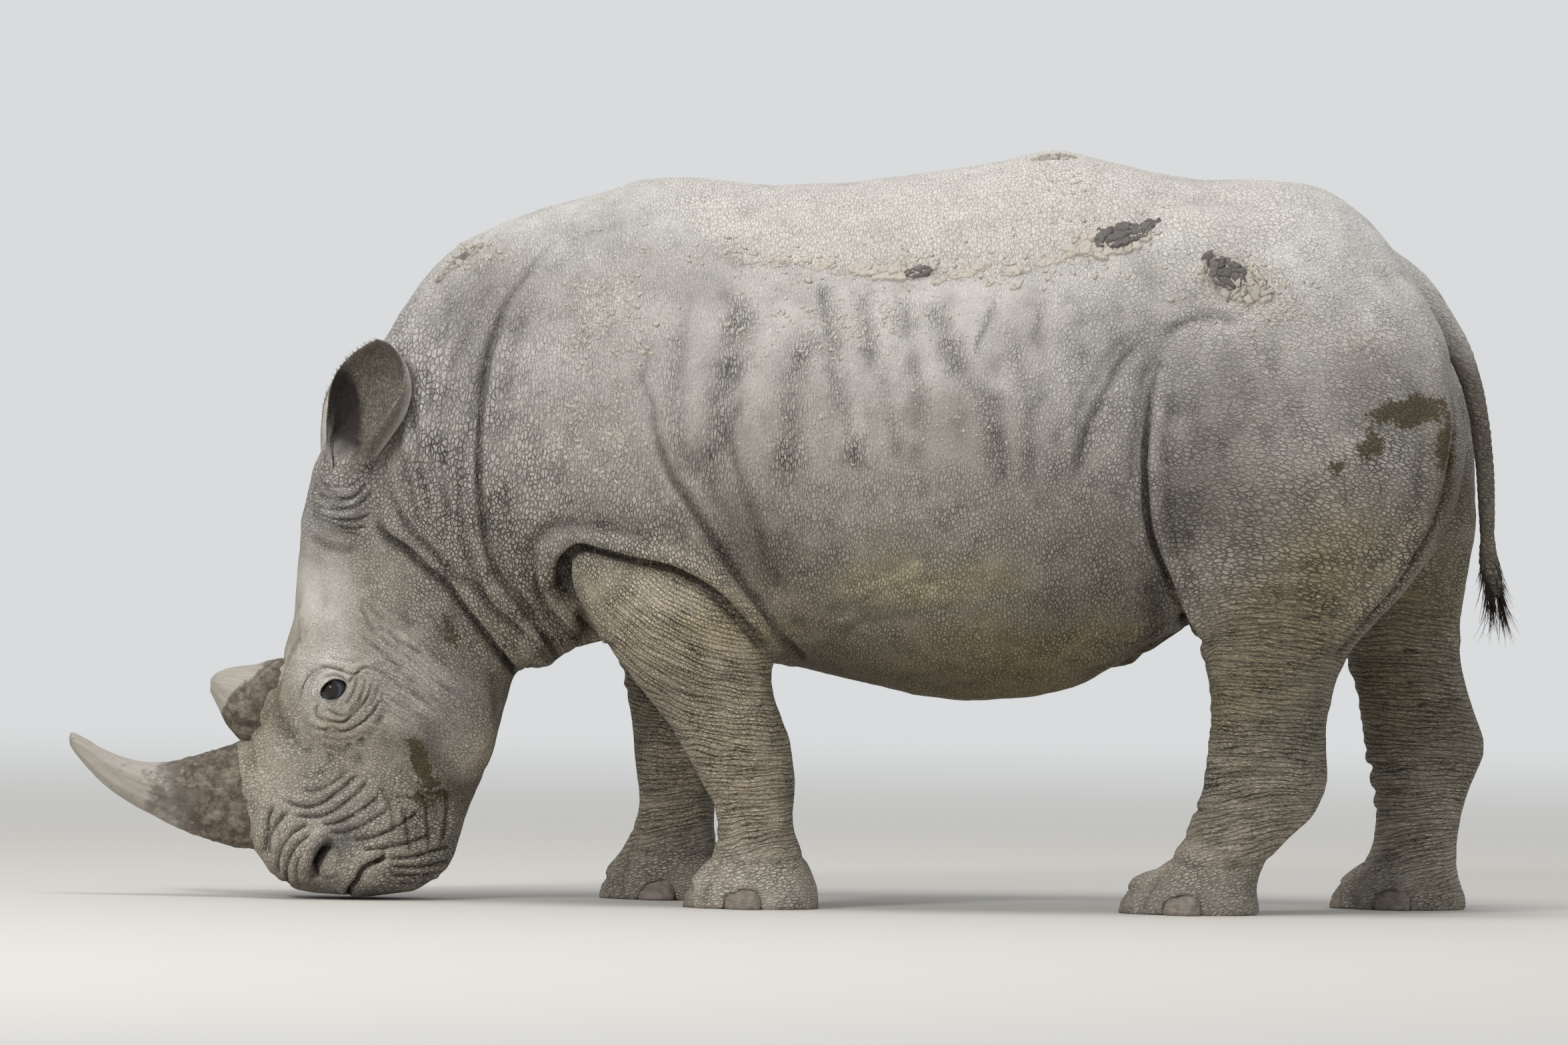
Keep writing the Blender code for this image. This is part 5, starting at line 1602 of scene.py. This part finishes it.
colour = attribute("hide_colour", "Color")
dust = times(rescaled(grit, 0.5, 0.72, 0.0, 0.3), attribute("relief"))
colour = blend_colours(dust, colour, "#c4c0ba")
mud_colour = blend_colours(rescaled(grit, 0.38, 0.62), "#938a7f", "#c2bbb1")
colour = blend_colours(times(crust_here, 0.38), colour, mud_colour)
# The cracks and the long wrinkles are painted dark: dirt in them, and painted shade
crack_dirt_and_shade = times(rescaled(coarse_cells, 0.0, 0.9, 0.72, 0.0), coarse_share)
crack_dirt_and_shade = maths("ADD", crack_dirt_and_shade, rescaled(fine_cells, 0.0, 0.75, 0.26, 0.0))
wrinkle_line_dirt_and_shade = rescaled(long_lines, 0.0, 0.85, 0.45, 0.0)
crack_dirt_and_shade = times(wrinkle_line_dirt_and_shade, attribute("wrinkled"), plus=crack_dirt_and_shade)
crack_dirt_and_shade = times(crack_dirt_and_shade, attribute("relief"))
crack_dirt_and_shade = times(crack_dirt_and_shade, rescaled(crust_here, 0.0, 1.0, 1.0, 0.4))
open_cracks = times(crust_here, rescaled(grit, 0.42, 0.54, 0.0, 0.6))
open_cracks = times(open_cracks, attribute("relief"))
film_cracks = times(rescaled(to_edge, 0.0, 0.05, 1.0, 0.0), open_cracks)
crack_dirt_and_shade = maths("MAXIMUM", crack_dirt_and_shade, film_cracks)
colour = blend_colours(crack_dirt_and_shade, colour, "#3a342c")
stain_edge = maths("ADD", attribute("stain"), times(grit, 1.2, plus=-0.6))
stain_here = rescaled(stain_edge, 0.34, 0.55, 0.0, 0.88)
colour = blend_colours(stain_here, colour, "#4a4026")
wire(colour, shader.inputs["Base Color"])
wire(rescaled(grit, 0.3, 0.7, 0.74, 0.92), shader.inputs["Roughness"])
shader.inputs["Specular IOR Level"].default_value = 0.35
hide.data.materials.clear()
hide.data.materials.append(hide_finish)
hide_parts(*FLESH, "ear_left", "ear_right", "tail")
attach(hide, "root")
print("hide:", triangles(hide), "triangles")

# %% [markdown]
# ## Toenail horn
# A toenail is dull and scratched. Growth lines run level round it, and mud sits in them.

# %% Scuffed toenail
nail_finish, shader = start_material("scuffed_toenail")
place = object_space()
squashed = node("VectorMath", {"operation": "MULTIPLY"}, i0=place, i1=(40.0, 40.0, 420.0)).outputs[0]
lines = grain(squashed, 1.0, 3.0)
dirt_spots = grain(place, 70.0, 4.0)
colour = blend_colours(lines, "#5d554d", "#8f877c")
colour = blend_colours(rescaled(dirt_spots, 0.45, 0.6, 0.0, 0.8), colour, "#6d6559")
wire(colour, shader.inputs["Base Color"])
emboss(shader, maths("ADD", lines, dirt_spots), 0.0012)
wire(rescaled(dirt_spots, 0.4, 0.6, 0.5, 0.85), shader.inputs["Roughness"])
for nail in nails:
    nail.data.materials.clear()
    nail.data.materials.append(nail_finish)

# %% [markdown]
# ## The horns
# A horn is a bundle of hard hairs. Its base is as wide as the snout and muddy, with cracks and
# lumps, and its tip is rubbed smooth and pale. Each horn is lofted from close rings. Noise
# moves the points of the base, and the same share of the length tells the finish where mud ends.

# %% Lumps and grooves
horns = []
for name, table, first, rings, roundness, clean_from in (
    ("front", FRONT_HORN, 0.03, 170, 2.6, 0.56), ("rear", REAR_HORN, 0.04, 90, 2.4, 0.42),
):
    horn, share, angle = make_horn(name + "_horn", table, first, 1.0, rings, 96, roundness)
    face_outward(horn)
    horn_points = points_of(horn)
    rough_here = smooth_step(share, clean_from, 0.15)
    lumps = cloud(horn_points, 0.035, 21, 3) * 0.0042 + cloud(horn_points, 0.012, 22, 2) * 0.0014
    grooves = 0.0016 * np.sin(9 * angle + 3.0 * cloud(horn_points, 0.09, 23)) * smooth_step(share, 1.0, 0.7)
    dents = 0.001 * cloud(horn_points, 0.05, 24, 3)
    horn_points += normals_of(horn) * (lumps * (0.15 + rough_here) + 0.5 * grooves + dents)[:, None]
    put_points(horn, horn_points)
    shade_smooth(horn)
    fray = cloud(horn_points, 0.06, 25, 3)
    if name == "rear":  # the mud ends on a slanting line, high at the back and low at the tip
        mud = smooth_step(0.749 * (horn_points[:, 0] + 1.1605) - 0.663 * (horn_points[:, 2] - 0.509)
                          + 0.014 * fray, -0.012, 0.016)
    else:
        mud = smooth_step(share + 0.12 * fray, clean_from, clean_from - 0.42)
    store(horn, "mud", mud)
    wide = table[0, 4]
    unrolled = np.stack([wide * np.cos(angle), wide * np.sin(angle), share * 0.5], 1)
    store(horn, "horn_map", unrolled, "FLOAT_VECTOR")
    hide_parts("horn_" + name)
    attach(horn, "root")
    horns.append(horn)
    print(horn.name, triangles(horn), "triangles")

# %% Fibrous horn, muddy at the base
horn_finish, shader = start_material("fibrous_horn_muddy_at_the_base")
place = object_space()
drawn_out = node("VectorMath", {"operation": "MULTIPLY"},
                 i0=attribute("horn_map", "Vector"), i1=(260.0, 260.0, 16.0)).outputs[0]
fibres = grain(drawn_out, 1.0, 3.0)
patches = grain(place, 46.0, 6.0, 0.76)
scales = grain(drawn_out, 0.22, 4.0, 0.6)
muddy = maths("ADD", attribute("mud"), times(patches, 1.3, plus=-0.65))
muddy = rescaled(muddy, 0.2, 0.8)
clean = blend_colours(fibres, "#857d73", "#aba59c")
clean = blend_colours(rescaled(patches, 0.6, 0.72, 0.0, 0.6), clean, "#4a443e")
mud_tone = blend_colours(rescaled(patches, 0.36, 0.68), "#52483c", "#8f8578")
mud_tone = blend_colours(rescaled(scales, 0.36, 0.48, 0.55, 0.0), mud_tone, "#42372d")
wire(blend_colours(muddy, clean, mud_tone), shader.inputs["Base Color"])
height = times(patches, 1.6, plus=times(scales, 1.2))
height = times(height, times(muddy, 0.8, plus=0.2))
height = times(fibres, 0.25, plus=height)
emboss(shader, height, 0.0045)
wire(rescaled(muddy, 0.0, 1.0, 0.48, 0.9), shader.inputs["Roughness"])
for horn in horns:
    horn.data.materials.append(horn_finish)

# %% [markdown]
# ## The eyes
# The eye is small, dark and wet. A glassy coat over a brown iris gives the small bright
# reflection that makes it look alive. The ball is one smooth sphere, and its finish reads how
# far each point is turned away from the direction of gaze.

# %% Eyeballs
GAZE = np.array([-0.22, 0.95, -0.06])  # forwards, out and a little down
for name, side, ball in eyeballs:
    deselect_all()
    bpy.ops.mesh.primitive_uv_sphere_add(segments=72, ring_count=48, radius=BALL_RADIUS, location=(0, 0, 0))
    eyeball = bpy.context.object
    eyeball.name = name.replace("eye", "eyeball")
    gaze = GAZE * [1, side, 1] / np.linalg.norm(GAZE)
    ball_points = points_of(eyeball)
    turned = np.degrees(np.arccos(np.clip(ball_points @ gaze / BALL_RADIUS, -1, 1)))
    cornea = 0.0022 * np.exp(-((turned / 27.0) ** 4))
    put_points(eyeball, ball_points + gaze * cornea[:, None] + ball)
    store(eyeball, "turned", turned)
    shade_smooth(eyeball)
    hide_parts(name)
    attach(eyeball, "root")
    if side < 0:
        eye_finish, shader = start_material("wet_dark_eye")
        turned_by = attribute("turned")
        streaks = grain(object_space(), 500.0, 3.0)
        iris = blend_colours(streaks, "#0d0908", "#231812")
        white = blend_colours(streaks, "#3c4049", "#5b616d")
        colour = blend_colours(rescaled(turned_by, 12.0, 16.0), "#050404", iris)
        colour = blend_colours(rescaled(turned_by, 33.0, 42.0), colour, white)
        wire(colour, shader.inputs["Base Color"])
        wire(rescaled(streaks, 0.3, 0.7, 0.05, 0.11), shader.inputs["Roughness"])
        for key, value in (("Specular IOR Level", 0.15), ("Coat Weight", 1.0),
                           ("Coat Roughness", 0.03), ("Coat IOR", 1.38)):
            shader.inputs[key].default_value = value
    eyeball.data.materials.append(eye_finish)

# %% [markdown]
# ## Mud on the back
# The thickest mud has dried into clods that stand off the hide. A clod patch is a small sheet
# laid on the hide. Random seeds divide it into plates, the plates rise, and the gaps between
# them and the frayed rim dip under the skin. Crumbs are pebbles strewn one by one and joined.

# %% A patch of cracked mud
skin_tree = BVHTree.FromPolygons(
    [tuple(p) for p in points], [tuple(p.vertices) for p in hide.data.polygons])


def on_side(place, side=-1):
    """The point and normal of the hide seen at (X, Z) from the left or the right."""
    hit, normal, _, _ = skin_tree.ray_cast(Vector((place[0], side * 2.0, place[1])), Vector((0, -side, 0)))
    return (hit, normal) if hit else (None, None)


def mud_patch(middle, radii, turn, plate, thickness, dark, step=0.0022, side=-1):
    """Vertices, faces and darkness of one patch whose middle is at (X, Z)."""
    centre, normal = on_side(middle, side)
    along = Vector((math.cos(math.radians(turn)), 0, math.sin(math.radians(turn))))
    along = (along - along.dot(normal) * normal).normalized()
    over = normal.cross(along)
    columns, rows = (int(2.3 * r / step) + 1 for r in radii)
    u, v = np.meshgrid(np.linspace(-1.15, 1.15, columns), np.linspace(-1.15, 1.15, rows), indexing="ij")
    u, v = u.ravel() * radii[0], v.ravel() * radii[1]
    sheet = np.array(centre) + u[:, None] * np.array(along) + v[:, None] * np.array(over)
    warp = np.stack([cloud(sheet, 0.02, 31), cloud(sheet, 0.02, 32)], 1) * 0.18 * plate
    count = int(5.3 * radii[0] * radii[1] / plate**2) + 4
    seeds = rng.uniform(-1.15, 1.15, (count, 2)) * radii
    spread = np.linalg.norm(np.stack([u, v], 1)[:, None] + warp[:, None] - seeds, axis=2)
    order = np.argsort(spread, axis=1)
    nearest, second = np.take_along_axis(spread, order[:, :2], 1).T
    lift = rng.uniform(0.55, 1.1, count)[order[:, 0]]
    tone = rng.uniform(-0.12, 0.12, count)[order[:, 0]]
    plates = smooth_step(second - nearest, 0.0004, 0.1 * plate)
    outline = 1.0 - (u / radii[0]) ** 2 - (v / radii[1]) ** 2 + 0.55 * cloud(sheet, 0.022, 33, 3)
    shape = smooth_step(outline, 0.0, 0.22)
    height = thickness * shape * (0.35 + 0.65 * plates * lift) + 0.0016 * cloud(sheet, 0.009, 34, 3) * shape
    height -= 0.0035 * (1 - shape)
    placed = []
    for point, rise in zip(sheet, height):
        near, near_normal, _, _ = skin_tree.find_nearest(Vector(point))
        placed.append(near + near_normal * float(rise))
    at = np.arange(columns * rows).reshape(columns, rows)
    corners = np.stack([at[:-1, :-1], at[1:, :-1], at[1:, 1:], at[:-1, 1:]], -1).reshape(-1, 4)
    faces = corners[outline[corners].max(1) > -0.25].tolist()
    # The gaps between the plates are painted darker, as painted shade in the cracks
    return np.array(placed), faces, dark + tone + 0.35 * (1 - plates)


def joined(name, parts, attribute_name):
    """One object out of many (vertices, faces, values)."""
    vertices, faces, values, start = [], [], [], 0
    for some_vertices, some_faces, some_values in parts:
        vertices.append(some_vertices)
        faces += [tuple(i + start for i in f) for f in some_faces]
        values.append(np.broadcast_to(some_values, len(some_vertices)))
        start += len(some_vertices)
    made = new_object(name, np.concatenate(vertices), faces)
    store(made, attribute_name, np.concatenate(values))
    shade_smooth(made)
    return made


# Middle, radii, turn in degrees, size of a plate, thickness, darkness from 0 to 1
CLODS = [
    ((0.71, 1.48), (0.088, 0.032), 24, 0.034, 0.01, 0.95),
    ((0.69, 1.468), (0.11, 0.046), 22, 0.024, 0.006, 0.22),
    ((0.93, 1.405), (0.058, 0.036), -32, 0.027, 0.009, 0.78),
    ((0.955, 1.388), (0.09, 0.05), -34, 0.022, 0.006, 0.28),
    ((0.262, 1.392), (0.036, 0.015), 8, 0.022, 0.01, 0.85),
    ((0.235, 1.395), (0.08, 0.022), 5, 0.02, 0.006, 0.25),
    ((0.56, 1.65), (0.05, 0.022), 10, 0.022, 0.006, 0.35),
    ((-0.74, 1.405), (0.075, 0.016), 38, 0.018, 0.005, 0.42),
]
# The ragged lower edge of the crust is a chain of small patches
for x, z, long in ((0.36, 1.392, 0.035), (0.4, 1.408, 0.025), (0.47, 1.4, 0.04), (0.55, 1.424, 0.045),
                   (0.6, 1.452, 0.03), (0.15, 1.398, 0.045), (0.06, 1.406, 0.03), (-0.03, 1.416, 0.022),
                   (0.42, 1.372, 0.014), (0.475, 1.366, 0.016), (0.31, 1.376, 0.018), (-0.1, 1.412, 0.018)):
    CLODS.append(((x, z), (long, 0.3 * long + 0.003), rng.uniform(-25, 35), 0.016, 0.0035, 0.14))
clod_parts = [mud_patch(*clod) for clod in CLODS]

# %% Crumbs of mud
# X, Z, the two radii and the largest size in millimetres, how many
CRUMB_FIELDS = """
200 1410 500 50 10 150
-420 1250 120 200 9 90
-450 1020 120 100 8 60
100 1280 300 90 8 110
300 1080 400 140 6 60
980 1360 160 80 9 90
1100 1250 200 100 6 40
-1100 370 50 120 5 14
-1140 240 50 100 5 12
660 1500 160 50 9 50
-720 1420 100 40 11 60
600 1600 120 40 8 40
"""
PEBBLE_SIDES = (0.7, 1.5), (0.45, 0.9), (0.14, 0.34)  # least and most; a pebble lies flat
deselect_all()
bpy.ops.mesh.primitive_ico_sphere_add(subdivisions=1, radius=1.0)
pebble = bpy.context.object
pebble_points, pebble_faces = points_of(pebble), [tuple(p.vertices) for p in pebble.data.polygons]
bpy.data.objects.remove(pebble)
crumb_parts = []
for x, z, wide, high, largest, count in numbers(CRUMB_FIELDS, 5):
    for side in (-1, 1):
        for _ in range(int(2.5 * count if side < 0 else count)):
            place = np.array((x, z)) + np.clip(rng.normal(0, 0.5, 2), -1.2, 1.2) * (wide, high)
            hit, normal = on_side(place, side)
            if hit is None:
                continue
            size = 0.8 * largest * rng.uniform(0.2, 1.0) ** 1.8 + 0.0008
            turn = Vector(normal).to_track_quat("Z", "Y").to_matrix()
            stretch = np.array([rng.uniform(*ends) for ends in PEBBLE_SIDES]) * size
            dented = 1 + rng.uniform(-0.38, 0.38, (len(pebble_points), 1))
            lump = pebble_points * stretch * dented
            spin = rng.uniform(0, 2 * math.pi)
            c, s = math.cos(spin), math.sin(spin)
            lump = lump @ np.array([[c, s, 0], [-s, c, 0], [0, 0, 1]]) @ np.array(turn).T
            crumb_parts.append((lump + np.array(hit), pebble_faces, rng.uniform(0.0, 0.3)))
dried_mud = joined("dried_mud", clod_parts + crumb_parts, "darkness")
print("dried mud:", triangles(dried_mud), "triangles")

# %% Dried river mud
mud_finish, shader = start_material("dried_river_mud")
place = object_space()
grains = grain(place, 190.0, 4.0, 0.65)
soft = grain(place, 30.0, 2.0)
pale = blend_colours(grains, "#958b7e", "#c8c1b6")
black = blend_colours(grains, "#2c2825", "#7c7773")
colour = blend_colours(rescaled(attribute("darkness"), 0.15, 0.85), pale, black)
wire(colour, shader.inputs["Base Color"])
emboss(shader, grains, 0.0025)
wire(rescaled(soft, 0.3, 0.7, 0.78, 0.95), shader.inputs["Roughness"])
dried_mud.data.materials.append(mud_finish)
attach(dried_mud, "root")

# %% [markdown]
# ## Hair
# A rhinoceros is nearly bare. It has a small brush of stiff black hair on the end of the tail,
# a short fringe on the rims of its ears, and lashes. Each hair is a thin three-sided spike
# that bends. All hairs of a kind are one mesh, and each hair gets its own small patch of the
# map OFBake, at the place of its root on the unrolled skin.

# %% A lock of hairs
HAIR_PATCH = 0.003


def hairs(name, rows, steps=6):
    """Bent three-sided spikes. A row holds a hair's root, direction, length, width and sag,
    and its root's place on the unrolled skin, from 0 to 1."""
    vertices, faces, uvs, tips = [], [], [], []
    for root, direction, length, width, fall, place in rows:
        direction = np.asarray(direction) / np.linalg.norm(direction)
        sideways = np.cross(direction, [0.3, 0.5, 0.81])
        sideways /= np.linalg.norm(sideways)
        third = np.cross(direction, sideways)
        curl = rng.normal(0, 0.1, 3)
        start = len(vertices)
        for i in range(steps + 1):
            t = i / steps
            middle = root + direction * length * t + (np.array([0, 0, -fall]) + curl) * length * t * t
            thick = width * (1 - t) ** 0.7 + 0.00012
            for k in range(3):
                a = 2 * math.pi * k / 3
                vertices.append(middle + (sideways * math.cos(a) + third * math.sin(a)) * thick)
                tips.append(t)
        for i in range(steps):
            for k in range(3):
                a, b = start + 3 * i + k, start + 3 * i + (k + 1) % 3
                faces.append((a, b, b + 3, a + 3))
                left, right = k / 3 * HAIR_PATCH, (k + 1) / 3 * HAIR_PATCH
                low, high = i / steps * HAIR_PATCH, (i + 1) / steps * HAIR_PATCH
                uvs += [(place[0] + left, place[1] + low), (place[0] + right, place[1] + low),
                        (place[0] + right, place[1] + high), (place[0] + left, place[1] + high)]
        for end, order in ((start, (0, 2, 1)), (start + 3 * steps, (0, 1, 2))):
            faces.append(tuple(end + k for k in order))
            corner = 0.0 if end == start else HAIR_PATCH * 0.9
            uvs += [(place[0] + corner * 0.3, place[1] + corner),
                    (place[0] + HAIR_PATCH * 0.5, place[1] + corner),
                    (place[0] + HAIR_PATCH * 0.3, place[1] + min(corner + 0.0002, HAIR_PATCH))]
    made = new_object(name, vertices, faces)
    layer = made.data.uv_layers.new(name="OFBake")
    layer.data.foreach_set("uv", np.asarray(uvs, np.float32).ravel())
    store(made, "along_hair", tips)
    shade_smooth(made)
    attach(made, "root")
    print(name, len(rows), "hairs,", triangles(made), "triangles")
    return made


# %% Tail brush
# Down the fleshy end: height, X of its middle, half its breadth
TAIL_END = np.array([(0.692, 1.548, 0.007), (0.71, 1.544, 0.012), (0.74, 1.538, 0.015),
                     (0.78, 1.531, 0.017), (0.815, 1.5265, 0.017)])
BRUSH = 260  # hairs
rows = []
for _ in range(BRUSH):
    z = rng.uniform(0.692, 0.812)
    x, half = (np.interp(z, TAIL_END[:, 0], TAIL_END[:, k]) for k in (1, 2))
    ahead = rng.choice([-1, 1]) if rng.random() < 0.8 else rng.uniform(-1, 1)
    angle = math.pi / 2 * (1 - ahead) + rng.normal(0, 0.55)
    out = np.array([math.cos(angle), 0.9 * math.sin(angle), 0])
    rows.append((
        np.array([x, 0, z]) + out * half * [0.75, 0.95, 1],
        out * rng.uniform(0.05, 0.26) + np.array([0.14, 0, -1.0]),
        rng.uniform(0.05, 0.1) if z > 0.72 else rng.uniform(0.06, 0.1),
        rng.uniform(0.0008, 0.0014), rng.uniform(0.0, 0.15),
        (0.05 + 0.9 * ((angle / (2 * math.pi)) % 1.0), 0.05 + 0.9 * (z - 0.69) / 0.13)))
tail_hair = hairs("tail_brush", rows)
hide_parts("tail_tuft")

# %% Fringes of the ears
FRINGE = 210  # hairs on each ear
rows = []
for side in (-1, 1):
    for i in range(FRINGE):
        share = rng.uniform(0.34, 1.0)
        _, radius, rear, front = blended(EAR_ROWS, share)
        at_front = rng.random() < 0.12
        angle = math.radians(front if at_front else -rear)
        way = math.sin(angle) * ear_across - math.cos(angle) * ear_out
        turn = math.cos(angle) * ear_across + math.sin(angle) * ear_out
        root = middle_of_ear(share, radius) + way * (radius - 0.003)
        lean = (turn if at_front else -turn) * 0.6 + EAR_AXIS * rng.uniform(0.2, 0.8)
        lean = lean + way * rng.uniform(-0.3, 0.3)
        if side > 0:
            root, lean = root * [1, -1, 1] + EAR_RIGHT_AHEAD, lean * [1, -1, 1]
        column = 0.05 + 0.2 * share + (0.25 if at_front else 0.0) + (0.45 if side > 0 else 0.0)
        rows.append((root, lean, rng.uniform(0.005, 0.013), rng.uniform(0.0003, 0.0005), 0.1,
                     (column, 0.1 + 0.8 * (i / FRINGE))))
ear_hair = hairs("ear_fringe", rows, steps=3)

# %% Lashes
UPPER, LOWER = 40, 16  # lashes on each lid
rows = []
for name, side, ball in eyeballs:
    for i in range(UPPER + LOWER):
        upper = i < UPPER
        t = (i + 0.5) / UPPER if upper else (i + 0.5 - UPPER) / LOWER
        turn = math.pi * (0.12 + 0.76 * t) if upper else -math.pi * (0.2 + 0.6 * t)
        size = (1.0 / (abs(math.cos(turn)) ** ALMOND + abs(math.sin(turn)) ** ALMOND)) ** (1 / ALMOND)
        u, v = OPENING[0] * math.cos(turn) * size * 1.03, OPENING[1] * math.sin(turn) * size * 1.03
        x = u * math.cos(tilt) - v * math.sin(tilt)
        z = u * math.sin(tilt) + v * math.cos(tilt)
        out = math.sqrt(max((BALL_RADIUS + LID) ** 2 - u * u - v * v, 1e-6))
        fall = -0.35 if upper else -0.5
        rows.append((
            ball + [x, side * (out - 0.001), z],
            [x * 14 + rng.normal(0, 0.12), side * 0.9, fall + rng.normal(0, 0.1)],
            rng.uniform(0.008, 0.015) if upper else rng.uniform(0.004, 0.007),
            0.0004, -0.25 if upper else 0.1,
            (0.1 + 0.35 * t + (0.45 if side > 0 else 0.0), 0.3 + 0.2 * upper)))
lashes = hairs("eyelashes", rows, steps=4)

# %% Stiff hair, sun-bleached at the tips
hair_finish, shader = start_material("stiff_dark_hair")
strand = grain(object_space(), 320.0, 2.0)
dark_hair = blend_colours(strand, "#100d0c", "#2c2420")
bleached = rescaled(attribute("along_hair"), 0.7, 1.0, 0.0, 0.75)
wire(blend_colours(bleached, dark_hair, "#8a4a22"), shader.inputs["Base Color"])
wire(rescaled(strand, 0.3, 0.7, 0.42, 0.6), shader.inputs["Roughness"])
emboss(shader, strand, 0.0004)
fuzz_finish, shader = start_material("pale_ear_fuzz")
strand = grain(object_space(), 320.0, 2.0)
wire(blend_colours(strand, "#5d5245", "#8c7f6d"), shader.inputs["Base Color"])
wire(rescaled(strand, 0.3, 0.7, 0.5, 0.7), shader.inputs["Roughness"])
for piece, finish in ((tail_hair, hair_finish), (lashes, hair_finish), (ear_hair, fuzz_finish)):
    piece.data.materials.append(finish)
